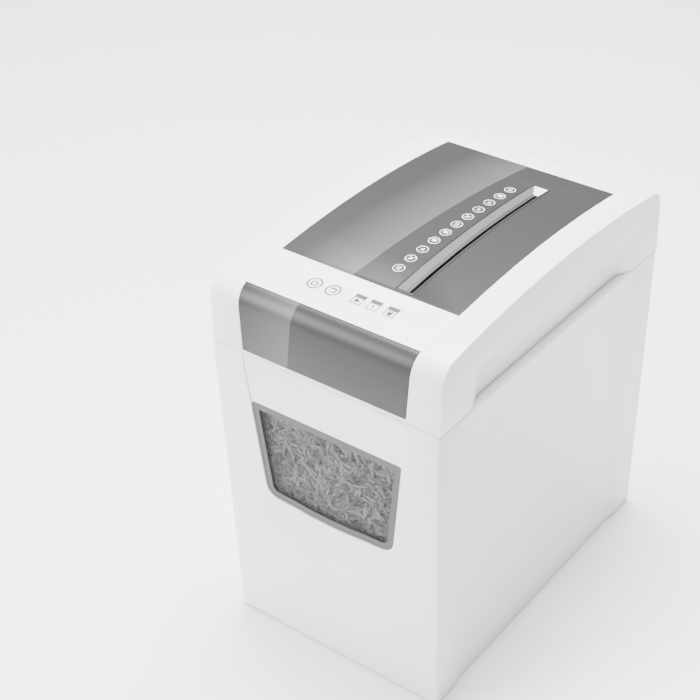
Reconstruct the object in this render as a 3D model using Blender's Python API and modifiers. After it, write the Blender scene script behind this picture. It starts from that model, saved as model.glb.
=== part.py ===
"""Desk-side paper shredder: a pull-free waste bin with a lift-off shredding head.

Metres, +Z up. The origin is on the floor under the middle of the bin, +X is the
user's right and -Y is the front, where the bin's window is. The head sits on the bin.
"""

import math

import bmesh
import bpy
from mathutils import Matrix, Vector

# ---------------------------------------------------------------- overall sizes
RIM_WIDTH = 0.250
RIM_DEPTH = 0.374
RIM_HEIGHT = 0.323
BASE_WIDTH = 0.241
BASE_DEPTH = 0.369
HEAD_RISE = 0.079  # from the rim to the top of the head's crown
GAP = 0.0003  # between pieces that touch
LOOSE = 0.0006  # around a piece that drops into its seat

# ---------------------------------------------------------------- waste bin
BIN_WALL = 0.0028
BIN_FLOOR = 0.003
BIN_CORNER = 0.0025
BOTTOM_RADIUS = 0.025
FOOT_PROUD = 0.0015
FOOT_POCKET = 0.0012
FOOT_RADIUS = 0.009
FOOT_INSET = 0.034
RIM_BAND = 0.003
SIDE_DIP_TOP = 0.0055  # depth of the side panels below the corner posts
SIDE_DIP_BOTTOM = 0.0024
SIDE_SLANT_TOP = 0.027  # how far along Y the post's slanted flank runs
SIDE_SLANT_BOTTOM = 0.008
FRONT_POST_TOP = 0.053
FRONT_POST_BOTTOM = 0.033
BACK_POST = 0.038
FRONT_DIP = 0.0013
FRONT_DIP_HALF_TOP = 0.091  # half width of the front panel at the rim
FRONT_DIP_LEAN = 0.117  # how fast that panel narrows on the way down
WINDOW_TOP = 0.272
WINDOW_BOTTOM = 0.166
WINDOW_SAG = 0.0025
WINDOW_TOP_RADIUS = 0.004
WINDOW_LOW_RADIUS = 0.015
WINDOW_BORDER = 0.0075
WINDOW_FRAME_THICK = 0.0040
PANE_THICK = 0.0018

# ---------------------------------------------------------------- head casing
COVER_WALL = 0.0032
COVER_EDGE = 0.0035
FRONT_LEAN = 0.0047  # how far the front face leans back over its straight part
BACK_LEAN = 0.0020
FRONT_ROUND = 0.0215
BACK_ROUND = 0.0165
CROWN_RADIUS = 1.157
CROWN_MIDDLE = 0.0085  # where along Y the crown is highest
CROWN_STEPS = 8
COVER_DIP = 0.0080  # depth of the side panels under the arches
COVER_DIP_FRONT = 0.046  # from the cover's front to the start of the dip
COVER_DIP_BACK = 0.052
COVER_DIP_TOP = 0.0385  # height of the dip at its two ends
COVER_DIP_CROWN = 0.0065  # how much higher it is in the middle
COVER_DIP_ROUND = 0.014
COVER_DIP_SLOPE_BACK = 0.020
COVER_DIP_SLOPE_TOP = 0.008
SKIRT_DEPTH = 0.048
SKIRT_INSET = 0.0042
SKIRT_TAPER = 0.0028  # more than the bin's own lean
SKIRT_WALL = 0.0025
SKIRT_ROUND = 0.008
SKIRT_DIP = 0.0075
SKIRT_DIP_SLANT = 0.022
SKIRT_DIP_FRONT = 0.046
SKIRT_DIP_BACK = 0.041
BOSS_RADIUS = 0.0045
BOSS_INSET_X = 0.0180
BOSS_INSET_Y = 0.0170
SKIRT_FLOOR = 0.0025
EXIT_LENGTH = 0.214
EXIT_WIDTH = 0.078

# ---------------------------------------------------------------- top of the head
PANEL_HALF = 0.0958
PANEL_FRONT = -0.117
PANEL_BACK = 0.143
PANEL_THICK = 0.0016
STRIP_THICK = 0.0012
PLATE_THICK = 0.0016
PLATE_HALF_TOP = 0.0935
PLATE_HALF_BOTTOM = 0.0895
PLATE_TOP = 0.0640  # above the rim
PLATE_BOTTOM = 0.0030
SLOT_X = 0.0410
SLOT_LENGTH = 0.220
SLOT_CENTRE_Y = -0.002
SLOT_WIDTH = 0.0056
LIP_LEFT = 0.0110  # width of the lip's sloped side
LIP_RIM = 0.0022
LIP_DEPTH = 0.0070
BUTTON_RADIUS = 0.0078
BUTTON_TRAVEL = 0.0006
BUTTON_THICK = 0.0050
POWER_X = -0.0380
REVERSE_X = -0.0180
STRIP_ROW_Y = -0.1430
LENS_XS = (0.0090, 0.0255, 0.0435)
LENS_SIZE = (0.0110, 0.0032)
LENS_THICK = 0.0030
LENS_Y = -0.1372

# ---------------------------------------------------------------- shredding works
SHAFT_SPACING = 0.036
SHAFT_DROP = 0.001  # of the shafts below the rim
SHAFT_RADIUS = 0.0060
CUTTER_OVERLAP = 0.0030  # how far a disc reaches past the middle
CUTTER_TIP_GAP = 0.0015
CUTTER_PITCH = 0.0136
CUTTER_WIDTH = 0.0058
CUTTERS = 16
SIDE_PLATE_THICK = 0.0025
SIDE_PLATE_GAP = 0.0035
SHAFT_END = 0.004  # how far a shaft passes its front bearing plate
FRAME_HEIGHT = 0.090
FRAME_REACH = 0.030  # how far a bearing plate passes the shafts sideways
BUSH_RADIUS = 0.0090
BUSH_FLANGE = 0.0014
SYNC_WIDTH = 0.010
SYNC_MODULE = 0.003
DRIVE_MODULE = 0.002
DRIVE_TEETH = 34
IDLER_SMALL_TEETH = 10
DRIVE_WIDTH = 0.010
MOTOR_MODULE = 0.0015
IDLER_BIG_TEETH = 34
PINION_TEETH = 10
MOTOR_GEAR_WIDTH = 0.007
GEAR_GAP = 0.0025
GEAR_STEP_UP = 0.92  # addendum as a share of the module
GEAR_STEP_DOWN = 1.25
GEAR_BACKLASH = 0.10  # share of the pitch that stays open between flanks
PRESSURE_ANGLE = math.radians(22.5)
IDLER_PIN_RADIUS = 0.0030
GEARBOX_WALL = 0.0022
TIE_RADIUS = 0.0040
TIE_HALF_SPREAD = 0.0330
TIE_DROP = 0.0240
STRIPPER_THICK = 0.0020
CHUTE_WALL = 0.0016
CHUTE_COLLAR = 0.0090
COMB_BACK = 0.0060
DISC_MARGIN = 0.0005
GEARBOX_SIDE = 0.0140
GEARBOX_REACH = 0.0250
GEARBOX_HALF = 0.0410
FLAP_Y = -0.030
FLAP_RISE = 0.049
FLAP_WIDTH = 0.0060
FLAP_REACH = 0.0085
FLAP_PIN = 0.0010

# ---------------------------------------------------------------- motor and electrics
STATOR_SIZE = (0.060, 0.046, 0.054)
STATOR_BORE = 0.0195
ARMATURE_RADIUS = 0.0185
ARMATURE_LENGTH = 0.048
COMMUTATOR_RADIUS = 0.0110
MOTOR_SHAFT_RADIUS = 0.0030
MOTOR_CENTRE_Y = 0.045
COIL_THICK = 0.0080
COIL_OUTER = 0.0245
COMMUTATOR_LENGTH = 0.0085
MOTOR_CAP_LENGTH = 0.0135
MOTOR_CAP_WALL = 0.0020
FAN_RADIUS = 0.0220
FAN_HUB = 0.0070
FAN_THICK = 0.0060
FAN_BLADES = 8
BOARD_THICK = 0.0016
CONTROL_BOARD = (0.124, 0.030)
CONTROL_X = 0.0
SWITCH_SIZE = 0.0060
SWITCH_HEIGHT = 0.0035
MAIN_BOARD = (0.070, 0.052)
CAPACITOR_RADIUS = 0.0085
CAPACITOR_LENGTH = 0.024
INTERLOCK_SIZE = (0.012, 0.020, 0.014)
PLUNGER_RADIUS = 0.0022
PLUNGER_TRAVEL = 0.003
INTERLOCK_X = 0.104
INTERLOCK_Y = -0.1517
INTERLOCK_RIB = (0.010, 0.020)  # across and down
PLUNGER_PROUD = 0.0027  # below the tray while the head is seated
INLET_X = -0.060
INLET_RISE = 0.034  # above the rim
INLET_RADIUS = 0.0065
INLET_FLANGE = 0.0095
MAIN_BOARD_SPOT = (-0.071, -0.082)
BOARD_POST_RADIUS = 0.0030
SCREW_RADIUS = 0.0018
SCREW_HEAD_RADIUS = 0.0036

# ---------------------------------------------------------------- derived places
SEAT_Z = RIM_HEIGHT + GAP  # underside of the head's cover
SKIRT_BOTTOM = RIM_HEIGHT - SKIRT_DEPTH
CROWN_TOP = RIM_HEIGHT + HEAD_RISE
FRONT_Y = -RIM_DEPTH / 2
BACK_Y = RIM_DEPTH / 2
SHAFT_Z = RIM_HEIGHT - SHAFT_DROP
FLAP_Z = RIM_HEIGHT + FLAP_RISE
CUTTER_RADIUS = SHAFT_SPACING / 2 + CUTTER_OVERLAP
CORE_RADIUS = SHAFT_SPACING - CUTTER_RADIUS - CUTTER_TIP_GAP
SHAFT_A_X = SLOT_X - SHAFT_SPACING / 2
SHAFT_B_X = SLOT_X + SHAFT_SPACING / 2
CUTTER_FRONT = SLOT_CENTRE_Y - (CUTTERS * CUTTER_PITCH) / 2
CUTTER_BACK = CUTTER_FRONT + CUTTERS * CUTTER_PITCH
PLATE_FRONT_Y = CUTTER_FRONT - SIDE_PLATE_GAP - SIDE_PLATE_THICK
PLATE_BACK_Y = CUTTER_BACK + SIDE_PLATE_GAP
SYNC_Y = PLATE_BACK_Y + SIDE_PLATE_THICK + BUSH_FLANGE + GEAR_GAP
DRIVE_Y = SYNC_Y + SYNC_WIDTH + GEAR_GAP
MOTOR_GEAR_Y = DRIVE_Y + DRIVE_WIDTH + GEAR_GAP
SYNC_TEETH = round(SHAFT_SPACING / SYNC_MODULE)
IDLER_X = SHAFT_A_X - DRIVE_MODULE * (DRIVE_TEETH + IDLER_SMALL_TEETH) / 2
MOTOR_X = IDLER_X - MOTOR_MODULE * (IDLER_BIG_TEETH + PINION_TEETH) / 2
GEARBOX_BACK = MOTOR_GEAR_Y + MOTOR_GEAR_WIDTH + GEAR_GAP + GEARBOX_WALL
TRAY_Z = SKIRT_BOTTOM + SKIRT_FLOOR + GAP  # where pieces stand on the tray
MAIN_BOARD_Z = TRAY_Z + 0.006
CONTROL_BOARD_DEPTH = BUTTON_THICK + BUTTON_TRAVEL + SWITCH_HEIGHT + 2 * GAP  # under the crown

PARTS = None
CUTTER_BIN = None
FINISHES = {}
WAYS = {"X": Vector((1, 0, 0)), "Y": Vector((0, 1, 0)), "Z": Vector((0, 0, 1))}


# ---------------------------------------------------------------- scene and finishes
def clear_scene():
    for thing in list(bpy.data.objects):
        bpy.data.objects.remove(thing, do_unlink=True)


def make_collections():
    global PARTS, CUTTER_BIN
    PARTS = bpy.data.collections.new("paper_shredder")
    CUTTER_BIN = bpy.data.collections.new("cutters")
    for group in (PARTS, CUTTER_BIN):
        bpy.context.scene.collection.children.link(group)


def finish(name, colour, roughness, metallic=0.0, alpha=1.0):
    made = bpy.data.materials.new(name)
    made.use_nodes = True
    shader = made.node_tree.nodes["Principled BSDF"]
    shader.inputs["Base Color"].default_value = (*colour, 1.0)
    shader.inputs["Roughness"].default_value = roughness
    shader.inputs["Metallic"].default_value = metallic
    shader.inputs["Alpha"].default_value = alpha
    FINISHES[name] = made


def make_finishes():
    finish("white_plastic", (0.86, 0.87, 0.87), 0.30)
    finish("grey_panel", (0.16, 0.165, 0.17), 0.38, 0.3)
    finish("window_border", (0.19, 0.19, 0.195), 0.35)
    finish("clear_plastic", (0.75, 0.78, 0.80), 0.08, 0.0, 0.3)
    finish("lip_grey", (0.50, 0.51, 0.52), 0.55)
    finish("rubber", (0.03, 0.03, 0.03), 0.85)
    finish("steel", (0.56, 0.57, 0.58), 0.32, 1.0)
    finish("dark_plastic", (0.05, 0.05, 0.055), 0.5)
    finish("nylon", (0.80, 0.77, 0.68), 0.5)
    finish("copper", (0.72, 0.36, 0.18), 0.35, 1.0)
    finish("board", (0.05, 0.22, 0.09), 0.55)
    finish("brass", (0.78, 0.60, 0.28), 0.3, 1.0)


# ---------------------------------------------------------------- making pieces
def place(mesh, name, colour, spot=None, helper=False):
    """An object that holds this mesh, in the parts or, for a helper, in the cutters."""
    thing = bpy.data.objects.new(name, mesh)
    if spot is not None:
        thing.matrix_world = spot
    (CUTTER_BIN if helper else PARTS).objects.link(thing)
    if helper:
        thing.hide_render = True
        thing.display_type = "WIRE"
    else:
        mesh.materials.append(FINISHES[colour])
    return thing


def mesh_from(bm, name):
    bmesh.ops.recalc_face_normals(bm, faces=bm.faces)
    mesh = bpy.data.meshes.new(name)
    bm.to_mesh(mesh)
    bm.free()
    return mesh


def rounded(mesh, angle=35):
    mesh.shade_smooth()
    mesh.set_sharp_from_angle(angle=math.radians(angle))
    return mesh


def block(name, low, high, colour=None, edge=0.0, helper=False):
    """A box between two corners, with its edges rounded by edge."""
    low, high = Vector(low), Vector(high)
    bm = bmesh.new()
    bmesh.ops.create_cube(bm, size=1.0)
    bmesh.ops.scale(bm, vec=high - low, verts=bm.verts)
    thing = place(mesh_from(bm, name), name, colour, Matrix.Translation((low + high) / 2), helper)
    if edge:
        soften(thing, edge)
    return thing


def soften(thing, width, segments=1):
    bevel = thing.modifiers.new("soft_edges", "BEVEL")
    bevel.width = width
    bevel.segments = segments
    bevel.limit_method = "ANGLE"
    bevel.angle_limit = math.radians(40)
    return thing


def corner_block(name, corners, colour=None, helper=False):
    """A cube whose eight corners are given, for (x, y, z) signs in the order of corners."""
    bm = bmesh.new()
    bmesh.ops.create_cube(bm, size=2.0)
    for vert in bm.verts:
        vert.co = corners[tuple(round(value) for value in vert.co)]
    return place(mesh_from(bm, name), name, colour, None, helper)


def facing(way, centre):
    """A frame at centre whose local Z runs along the axis way."""
    return Matrix.Translation(centre) @ WAYS["Z"].rotation_difference(WAYS[way]).to_matrix().to_4x4()


def rod(name, way, centre, radius, length, colour=None, sides=20, helper=False):
    bm = bmesh.new()
    bmesh.ops.create_cone(
        bm, cap_ends=True, segments=sides, radius1=radius, radius2=radius, depth=length
    )
    return place(rounded(mesh_from(bm, name)), name, colour, facing(way, centre), helper)


def extruded(name, outline, thickness, spot, colour=None, helper=False):
    """A flat outline, filled, extruded evenly about its plane and made a mesh."""
    curve = bpy.data.curves.new(name, "CURVE")
    curve.dimensions = "2D"
    curve.fill_mode = "BOTH"
    curve.extrude = thickness / 2
    spline = curve.splines.new("POLY")
    spline.points.add(len(outline) - 1)
    for point, (x, y) in zip(spline.points, outline):
        point.co = (x, y, 0, 1)
    spline.use_cyclic_u = True
    guide = bpy.data.objects.new(name + "_outline", curve)
    bpy.context.scene.collection.objects.link(guide)
    bpy.context.view_layer.update()
    graph = bpy.context.evaluated_depsgraph_get()
    mesh = bpy.data.meshes.new_from_object(guide.evaluated_get(graph))
    bpy.data.objects.remove(guide, do_unlink=True)
    bm = bmesh.new()
    bm.from_mesh(mesh)
    bmesh.ops.remove_doubles(bm, verts=bm.verts, dist=1e-6)
    bmesh.ops.dissolve_limit(bm, angle_limit=1e-4, verts=bm.verts, edges=bm.edges)
    bpy.data.meshes.remove(mesh)
    return place(rounded(mesh_from(bm, name)), name, colour, spot, helper)


def turned(name, profile, way, centre, colour, sides=20):
    """A lathe shape: (radius, height) points from the top of the axis to its bottom."""
    bm = bmesh.new()
    verts = [bm.verts.new((radius, 0, height)) for radius, height in profile]
    for first, second in zip(verts, verts[1:]):
        bm.edges.new((first, second))
    mesh = bpy.data.meshes.new(name)
    bm.to_mesh(mesh)
    bm.free()
    thing = place(mesh, name, colour, facing(way, centre))
    screw = thing.modifiers.new("turned", "SCREW")
    screw.steps = sides
    screw.render_steps = sides
    screw.use_merge_vertices = True
    screw.merge_threshold = 0.00001
    screw.use_smooth_shade = True
    return thing


def boolean(thing, other, operation):
    step = thing.modifiers.new(operation.lower() + "_" + other.name, "BOOLEAN")
    step.operation = operation
    step.solver = "EXACT"
    step.object = other
    return thing


def cut(thing, *cutters):
    for cutter in cutters:
        boolean(thing, cutter, "DIFFERENCE")
    return thing


def join(thing, *others):
    for other in others:
        boolean(thing, other, "UNION")
    return thing


def keep(thing, *limits):
    for limit in limits:
        boolean(thing, limit, "INTERSECT")
    return thing


# ---------------------------------------------------------------- plane outlines
def arc(centre, radius, start, end, steps):
    """Points on an arc, with its angles in degrees."""
    angles = [math.radians(start + (end - start) * i / steps) for i in range(steps + 1)]
    return [(centre[0] + radius * math.cos(a), centre[1] + radius * math.sin(a)) for a in angles]


def round_corners(points, radii, steps=4):
    """The outline with each corner replaced by an arc of its own radius."""
    made = []
    count = len(points)
    for i, corner in enumerate(points):
        corner = Vector(corner)
        before = (Vector(points[i - 1]) - corner).normalized()
        after = (Vector(points[(i + 1) % count]) - corner).normalized()
        if not radii[i]:
            made.append(tuple(corner))
            continue
        half = before.angle(after) / 2
        reach = radii[i] / math.tan(half)
        centre = corner + (before + after).normalized() * (radii[i] / math.sin(half))
        start, end = corner + before * reach - centre, corner + after * reach - centre
        turn = start.angle_signed(end)
        for k in range(steps + 1):
            angle = -turn * k / steps
            spun = Matrix.Rotation(angle, 2) @ start
            made.append(tuple(centre + spun))
    return made


def shrink(points, inset):
    """An anticlockwise outline moved inwards by inset."""
    made = []
    count = len(points)
    for i in range(count):
        here = Vector(points[i])
        along_in = (here - Vector(points[i - 1])).normalized()
        along_out = (Vector(points[(i + 1) % count]) - here).normalized()
        in_normal = Vector((-along_in.y, along_in.x))
        out_normal = Vector((-along_out.y, along_out.x))
        bisector = (in_normal + out_normal).normalized()
        made.append(tuple(here + bisector * (inset / max(0.3, bisector.dot(in_normal)))))
    return made


def yz_frame(x):
    """Local X along world +Y, local Y along world +Z, local Z along world +X."""
    return Matrix.Translation((x, 0, 0)) @ Matrix(((0, 0, 1, 0), (1, 0, 0, 0), (0, 1, 0, 0), (0, 0, 0, 1)))


def xz_frame(y):
    """Local X along world +X, local Y along world +Z, local Z along world -Y."""
    return Matrix.Translation((0, y, 0)) @ Matrix(((1, 0, 0, 0), (0, 0, -1, 0), (0, 1, 0, 0), (0, 0, 0, 1)))


def flat_frame(z):
    return Matrix.Translation((0, 0, z))


# ---------------------------------------------------------------- waste bin
def bin_half_width(z):
    return RIM_WIDTH / 2 - (RIM_HEIGHT - z) * (RIM_WIDTH - BASE_WIDTH) / 2 / RIM_HEIGHT


def bin_half_depth(z):
    return RIM_DEPTH / 2 - (RIM_HEIGHT - z) * (RIM_DEPTH - BASE_DEPTH) / 2 / RIM_HEIGHT


def tub(name, inset, low, high, colour=None, helper=False):
    """The bin's tapered outer form, moved inwards by inset, between two heights."""
    bm = bmesh.new()
    bmesh.ops.create_cube(bm, size=2.0)
    for vert in bm.verts:
        z = high if vert.co.z > 0 else low
        vert.co = (
            math.copysign(bin_half_width(z) - inset, vert.co.x),
            math.copysign(bin_half_depth(z) - inset, vert.co.y),
            z,
        )
    keel = [e for e in bm.edges if all(v.co.z == low for v in e.verts) and abs(e.verts[0].co.y - e.verts[1].co.y) > 0.01]
    bmesh.ops.bevel(bm, geom=keel, offset=BOTTOM_RADIUS - inset, segments=6, profile=0.5, affect="EDGES")
    ends = [e for e in bm.edges if e.calc_face_angle(0) > math.radians(60) and max(v.co.z for v in e.verts) > low + 0.001]
    ends = [e for e in ends if not all(v.co.z == high for v in e.verts)]
    if not helper:
        bmesh.ops.bevel(bm, geom=ends, offset=BIN_CORNER, segments=2, profile=0.5, affect="EDGES")
    return place(rounded(mesh_from(bm, name)), name, colour, None, helper)


def side_dip(name, side, inset, top):
    """The shallow panel cut between the corner posts; inset moves every face of it outwards."""
    corners = {}
    for z_sign, z in ((-1, -0.01), (1, top)):
        drop = (RIM_HEIGHT - z) / RIM_HEIGHT
        depth = SIDE_DIP_TOP + (SIDE_DIP_BOTTOM - SIDE_DIP_TOP) * drop
        slant = SIDE_SLANT_TOP + (SIDE_SLANT_BOTTOM - SIDE_SLANT_TOP) * drop
        post = FRONT_POST_TOP + (FRONT_POST_BOTTOM - FRONT_POST_TOP) * drop
        outer = bin_half_width(z)
        front = (FRONT_Y + post, slant / depth)
        if inset:
            # Inside, the rim's ledge runs as far forward as the dip in the cover above it.
            ledge_post = COVER_DIP_FRONT - LOOSE + (FRONT_POST_BOTTOM - COVER_DIP_FRONT) * drop
            ledge_slant = COVER_DIP_SLOPE_BACK + (SIDE_SLANT_BOTTOM - COVER_DIP_SLOPE_BACK) * drop
            front = (FRONT_Y + ledge_post, ledge_slant / depth)
        for y_sign, (edge, flank) in ((-1, front), (1, (BACK_Y - BACK_POST, slant / depth))):
            for x_sign, x in ((-1, outer - depth - inset), (1, outer + 0.02)):
                slide = flank * (outer - x) - inset * math.hypot(1, flank)
                corners[(x_sign * side, y_sign, z_sign)] = (side * x, edge - y_sign * slide, z)
    return corner_block(name, corners, helper=True)


def front_dip_half(z):
    return FRONT_DIP_HALF_TOP - FRONT_DIP_LEAN * (RIM_HEIGHT - z)


def front_wall_frame(depth=0.0):
    """A frame on the bin's leaning front wall: local X is +X, local Y runs up the wall."""
    lean = math.atan2((RIM_DEPTH - BASE_DEPTH) / 2, RIM_HEIGHT)
    turn = Matrix.Rotation(math.pi / 2 + lean, 4, "X")
    return Matrix.Translation((0, FRONT_Y, RIM_HEIGHT)) @ turn @ Matrix.Translation((0, 0, -depth))


def window_outline(inset):
    """The window in the front wall's frame, whose zero height is the rim."""
    sag = [
        (x * front_dip_half(WINDOW_BOTTOM) * 0.6, WINDOW_BOTTOM - WINDOW_SAG * (1 - x * x))
        for x in (-1, -0.5, 0, 0.5, 1)
    ]
    corners = [(-front_dip_half(WINDOW_TOP), WINDOW_TOP), (-front_dip_half(WINDOW_BOTTOM), WINDOW_BOTTOM + 0.001)]
    corners += sag
    corners += [(front_dip_half(WINDOW_BOTTOM), WINDOW_BOTTOM + 0.001), (front_dip_half(WINDOW_TOP), WINDOW_TOP)]
    top_radius = max(WINDOW_TOP_RADIUS - inset, GAP)
    low_radius = max(WINDOW_LOW_RADIUS - inset, GAP)
    radii = [top_radius, low_radius, 0, 0, 0, 0, 0, low_radius, top_radius]
    points = round_corners(shrink(corners, inset), radii)
    return [(x, z - RIM_HEIGHT) for x, z in points]


def front_dip_outline():
    """The window's outline, carried up to the band under the rim."""
    shape = [p for p in window_outline(GAP) if p[1] < WINDOW_TOP - RIM_HEIGHT - WINDOW_TOP_RADIUS * 1.5]
    top = -RIM_BAND
    half = front_dip_half(RIM_HEIGHT + top)
    return [(-half, top)] + shape + [(half, top)]


def make_bin():
    shell = tub("bin_shell", 0, FOOT_PROUD, RIM_HEIGHT, "white_plastic")
    hollow = tub("bin_hollow", BIN_WALL, FOOT_PROUD + BIN_FLOOR, RIM_HEIGHT + 0.01, helper=True)
    for side, word in ((-1, "left"), (1, "right")):
        cut(shell, side_dip(f"{word}_dip", side, 0, RIM_HEIGHT - RIM_BAND))
        cut(hollow, side_dip(f"{word}_dip_inside", side, BIN_WALL, RIM_HEIGHT + 0.02))
    cut(shell, hollow)
    dip = extruded("front_dip", front_dip_outline(), 2 * FRONT_DIP, front_wall_frame(), helper=True)
    opening = extruded("window_opening", window_outline(0), 0.02, front_wall_frame(), helper=True)
    cut(shell, dip, opening)

    frame_spot = front_wall_frame(FRONT_DIP + WINDOW_FRAME_THICK / 2)
    frame = extruded("window_frame", window_outline(GAP), WINDOW_FRAME_THICK, frame_spot, "window_border")
    light = extruded("window_light", window_outline(WINDOW_BORDER), 0.03, front_wall_frame(), helper=True)
    cut(frame, light)
    pane_spot = front_wall_frame(FRONT_DIP + WINDOW_FRAME_THICK / 2)
    extruded("window_pane", window_outline(WINDOW_BORDER + GAP), PANE_THICK, pane_spot, "clear_plastic")

    rib_top = SKIRT_BOTTOM - PLUNGER_PROUD - GAP
    rib = block(
        "interlock_rib",
        (INTERLOCK_X - INTERLOCK_RIB[0] / 2, INTERLOCK_Y - INTERLOCK_RIB[0] / 2, rib_top - INTERLOCK_RIB[1]),
        (bin_half_width(rib_top) - BIN_WALL / 2, INTERLOCK_Y + INTERLOCK_RIB[0] / 2, rib_top),
        helper=True,
    )
    join(shell, rib)
    for x_sign, side in ((-1, "left"), (1, "right")):
        for y_sign, end in ((-1, "front"), (1, "back")):
            x = x_sign * (BASE_WIDTH / 2 - FOOT_INSET)
            y = y_sign * (BASE_DEPTH / 2 - FOOT_INSET)
            roof = FOOT_PROUD + FOOT_POCKET
            pocket = rod(f"foot_pocket_{end}_{side}", "Z", (x, y, 0), FOOT_RADIUS + GAP, 2 * roof, helper=True)
            cut(shell, pocket)
            height = roof - GAP
            rod(f"foot_{end}_{side}", "Z", (x, y, height / 2), FOOT_RADIUS, height, "rubber", 24)


# ---------------------------------------------------------------- head casing
def crown_z(y):
    return CROWN_TOP - CROWN_RADIUS + math.sqrt(CROWN_RADIUS**2 - (y - CROWN_MIDDLE) ** 2)


def crown_slope(y):
    return math.atan2(CROWN_MIDDLE - y, CROWN_RADIUS)


def arch_outline(inset, low=SEAT_Z - 0.02):
    """The head's side view as (y, z) points, anticlockwise, moved inwards by inset."""
    front, back = FRONT_Y + FRONT_LEAN, BACK_Y - BACK_LEAN
    start, end = front + 1.4 * FRONT_ROUND, back - 1.4 * BACK_ROUND
    crown = [end + (start - end) * i / CROWN_STEPS for i in range(CROWN_STEPS + 1)]
    corners = [(FRONT_Y, low), (BACK_Y, low), (back, crown_z(back))]
    corners += [(y, crown_z(y)) for y in crown]
    corners += [(front, crown_z(front))]
    radii = [0, 0, BACK_ROUND - inset] + [0] * len(crown) + [FRONT_ROUND - inset]
    return round_corners(shrink(corners, inset), radii, 6)


def surface_frame(x, y, depth=0.0):
    """A frame on the crown at (x, y), sunk by depth, with local Z along its outward normal."""
    turn = Matrix.Rotation(crown_slope(y), 4, "X")
    return Matrix.Translation((x, y, crown_z(y))) @ turn @ Matrix.Translation((0, 0, -depth))


def loft(name, first, second, helper=True):
    """A closed solid between two rings of the same number of 3D points."""
    bm = bmesh.new()
    rings = [[bm.verts.new(point) for point in ring] for ring in (first, second)]
    count = len(first)
    for i in range(count):
        k = (i + 1) % count
        bm.faces.new((rings[0][i], rings[0][k], rings[1][k], rings[1][i]))
    for ring in rings:
        bm.faces.new(ring)
    return place(mesh_from(bm, name), name, None, None, helper)


def cover_dip(name, side, wall):
    """The arched panel sunk in the cover's side; wall grows it for the hollow behind it."""
    rings = []
    for depth in (-0.003, COVER_DIP + wall):
        share = depth / COVER_DIP
        ends = COVER_DIP_SLOPE_BACK * share - 1.1 * wall * (share > 0) - wall
        top = COVER_DIP_SLOPE_TOP * share - 1.1 * wall * (share > 0) - wall
        front, back = FRONT_Y + COVER_DIP_FRONT + ends, BACK_Y - COVER_DIP_BACK - ends
        side_z = SEAT_Z + COVER_DIP_TOP - top
        middle = (front + back) / 2
        crown = [back + (front - back) * i / 6 for i in range(1, 6)]
        rise = [COVER_DIP_CROWN * (1 - ((y - middle) / (front - middle)) ** 2) for y in crown]
        corners = [(front, SEAT_Z - 0.03), (back, SEAT_Z - 0.03), (back, side_z)]
        corners += [(y, side_z + lift) for y, lift in zip(crown, rise)]
        corners += [(front, side_z)]
        radii = [0, 0, COVER_DIP_ROUND] + [0] * 5 + [COVER_DIP_ROUND]
        x = side * (RIM_WIDTH / 2 - depth)
        rings.append([(x, y, z) for y, z in round_corners(corners, radii, 4)])
    return loft(name, *rings)


def skin(name, outer, inner, low, high, colour=None, helper=False):
    """A slab of the arch between two insets, inside a box."""
    width = high[0] - low[0]
    middle = yz_frame((high[0] + low[0]) / 2)
    slab = extruded(name, arch_outline(outer), width, middle, colour, helper)
    core = extruded(name + "_core", arch_outline(inner, SEAT_Z - 0.04), width + 0.01, middle, helper=True)
    window = block(name + "_limits", (low[0] - 0.001, *low[1:]), (high[0] + 0.001, *high[1:]), helper=True)
    cut(slab, core)
    keep(slab, window)
    return slab


def plate_limits(name, grow):
    top, bottom = RIM_HEIGHT + PLATE_TOP + grow, RIM_HEIGHT + PLATE_BOTTOM - grow
    lean = (PLATE_HALF_TOP - PLATE_HALF_BOTTOM) / (PLATE_TOP - PLATE_BOTTOM)
    wide, narrow = PLATE_HALF_TOP + grow * (1 + lean), PLATE_HALF_BOTTOM + grow * (1 - lean)
    outline = [(-narrow, bottom), (narrow, bottom), (wide, top), (-wide, top)]
    return extruded(name, outline, 0.06, xz_frame(FRONT_Y + 0.01), helper=True)


PANEL_LOW = (-PANEL_HALF, PANEL_FRONT, RIM_HEIGHT + 0.03)
PANEL_HIGH = (PANEL_HALF, PANEL_BACK, CROWN_TOP + 0.02)
STRIP_LOW = (-PANEL_HALF, FRONT_Y - 0.01, RIM_HEIGHT + PLATE_TOP + 2 * GAP)
STRIP_HIGH = (PANEL_HALF, PANEL_FRONT - 2 * GAP, CROWN_TOP + 0.02)
LIP_LOW_X = SLOT_X - SLOT_WIDTH / 2 - LIP_LEFT
LIP_HIGH_X = SLOT_X + SLOT_WIDTH / 2 + LIP_RIM
LIP_FRONT = SLOT_CENTRE_Y - SLOT_LENGTH / 2 - LIP_RIM
LIP_BACK = SLOT_CENTRE_Y + SLOT_LENGTH / 2 + LIP_RIM
BOSS_SPOTS = [
    (x * (RIM_WIDTH / 2 - BOSS_INSET_X), y * (RIM_DEPTH / 2 - BOSS_INSET_Y)) for x in (-1, 1) for y in (-1, 1)
]


def grown(low, high, by):
    return tuple(v - by for v in low), tuple(v + by for v in high)


def slot_cutter(name, grow, low, high):
    """A straight hole for the slot's lip, between two heights."""
    return block(
        name, (LIP_LOW_X - grow, LIP_FRONT - grow, low), (LIP_HIGH_X + grow, LIP_BACK + grow, high), helper=True
    )


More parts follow.
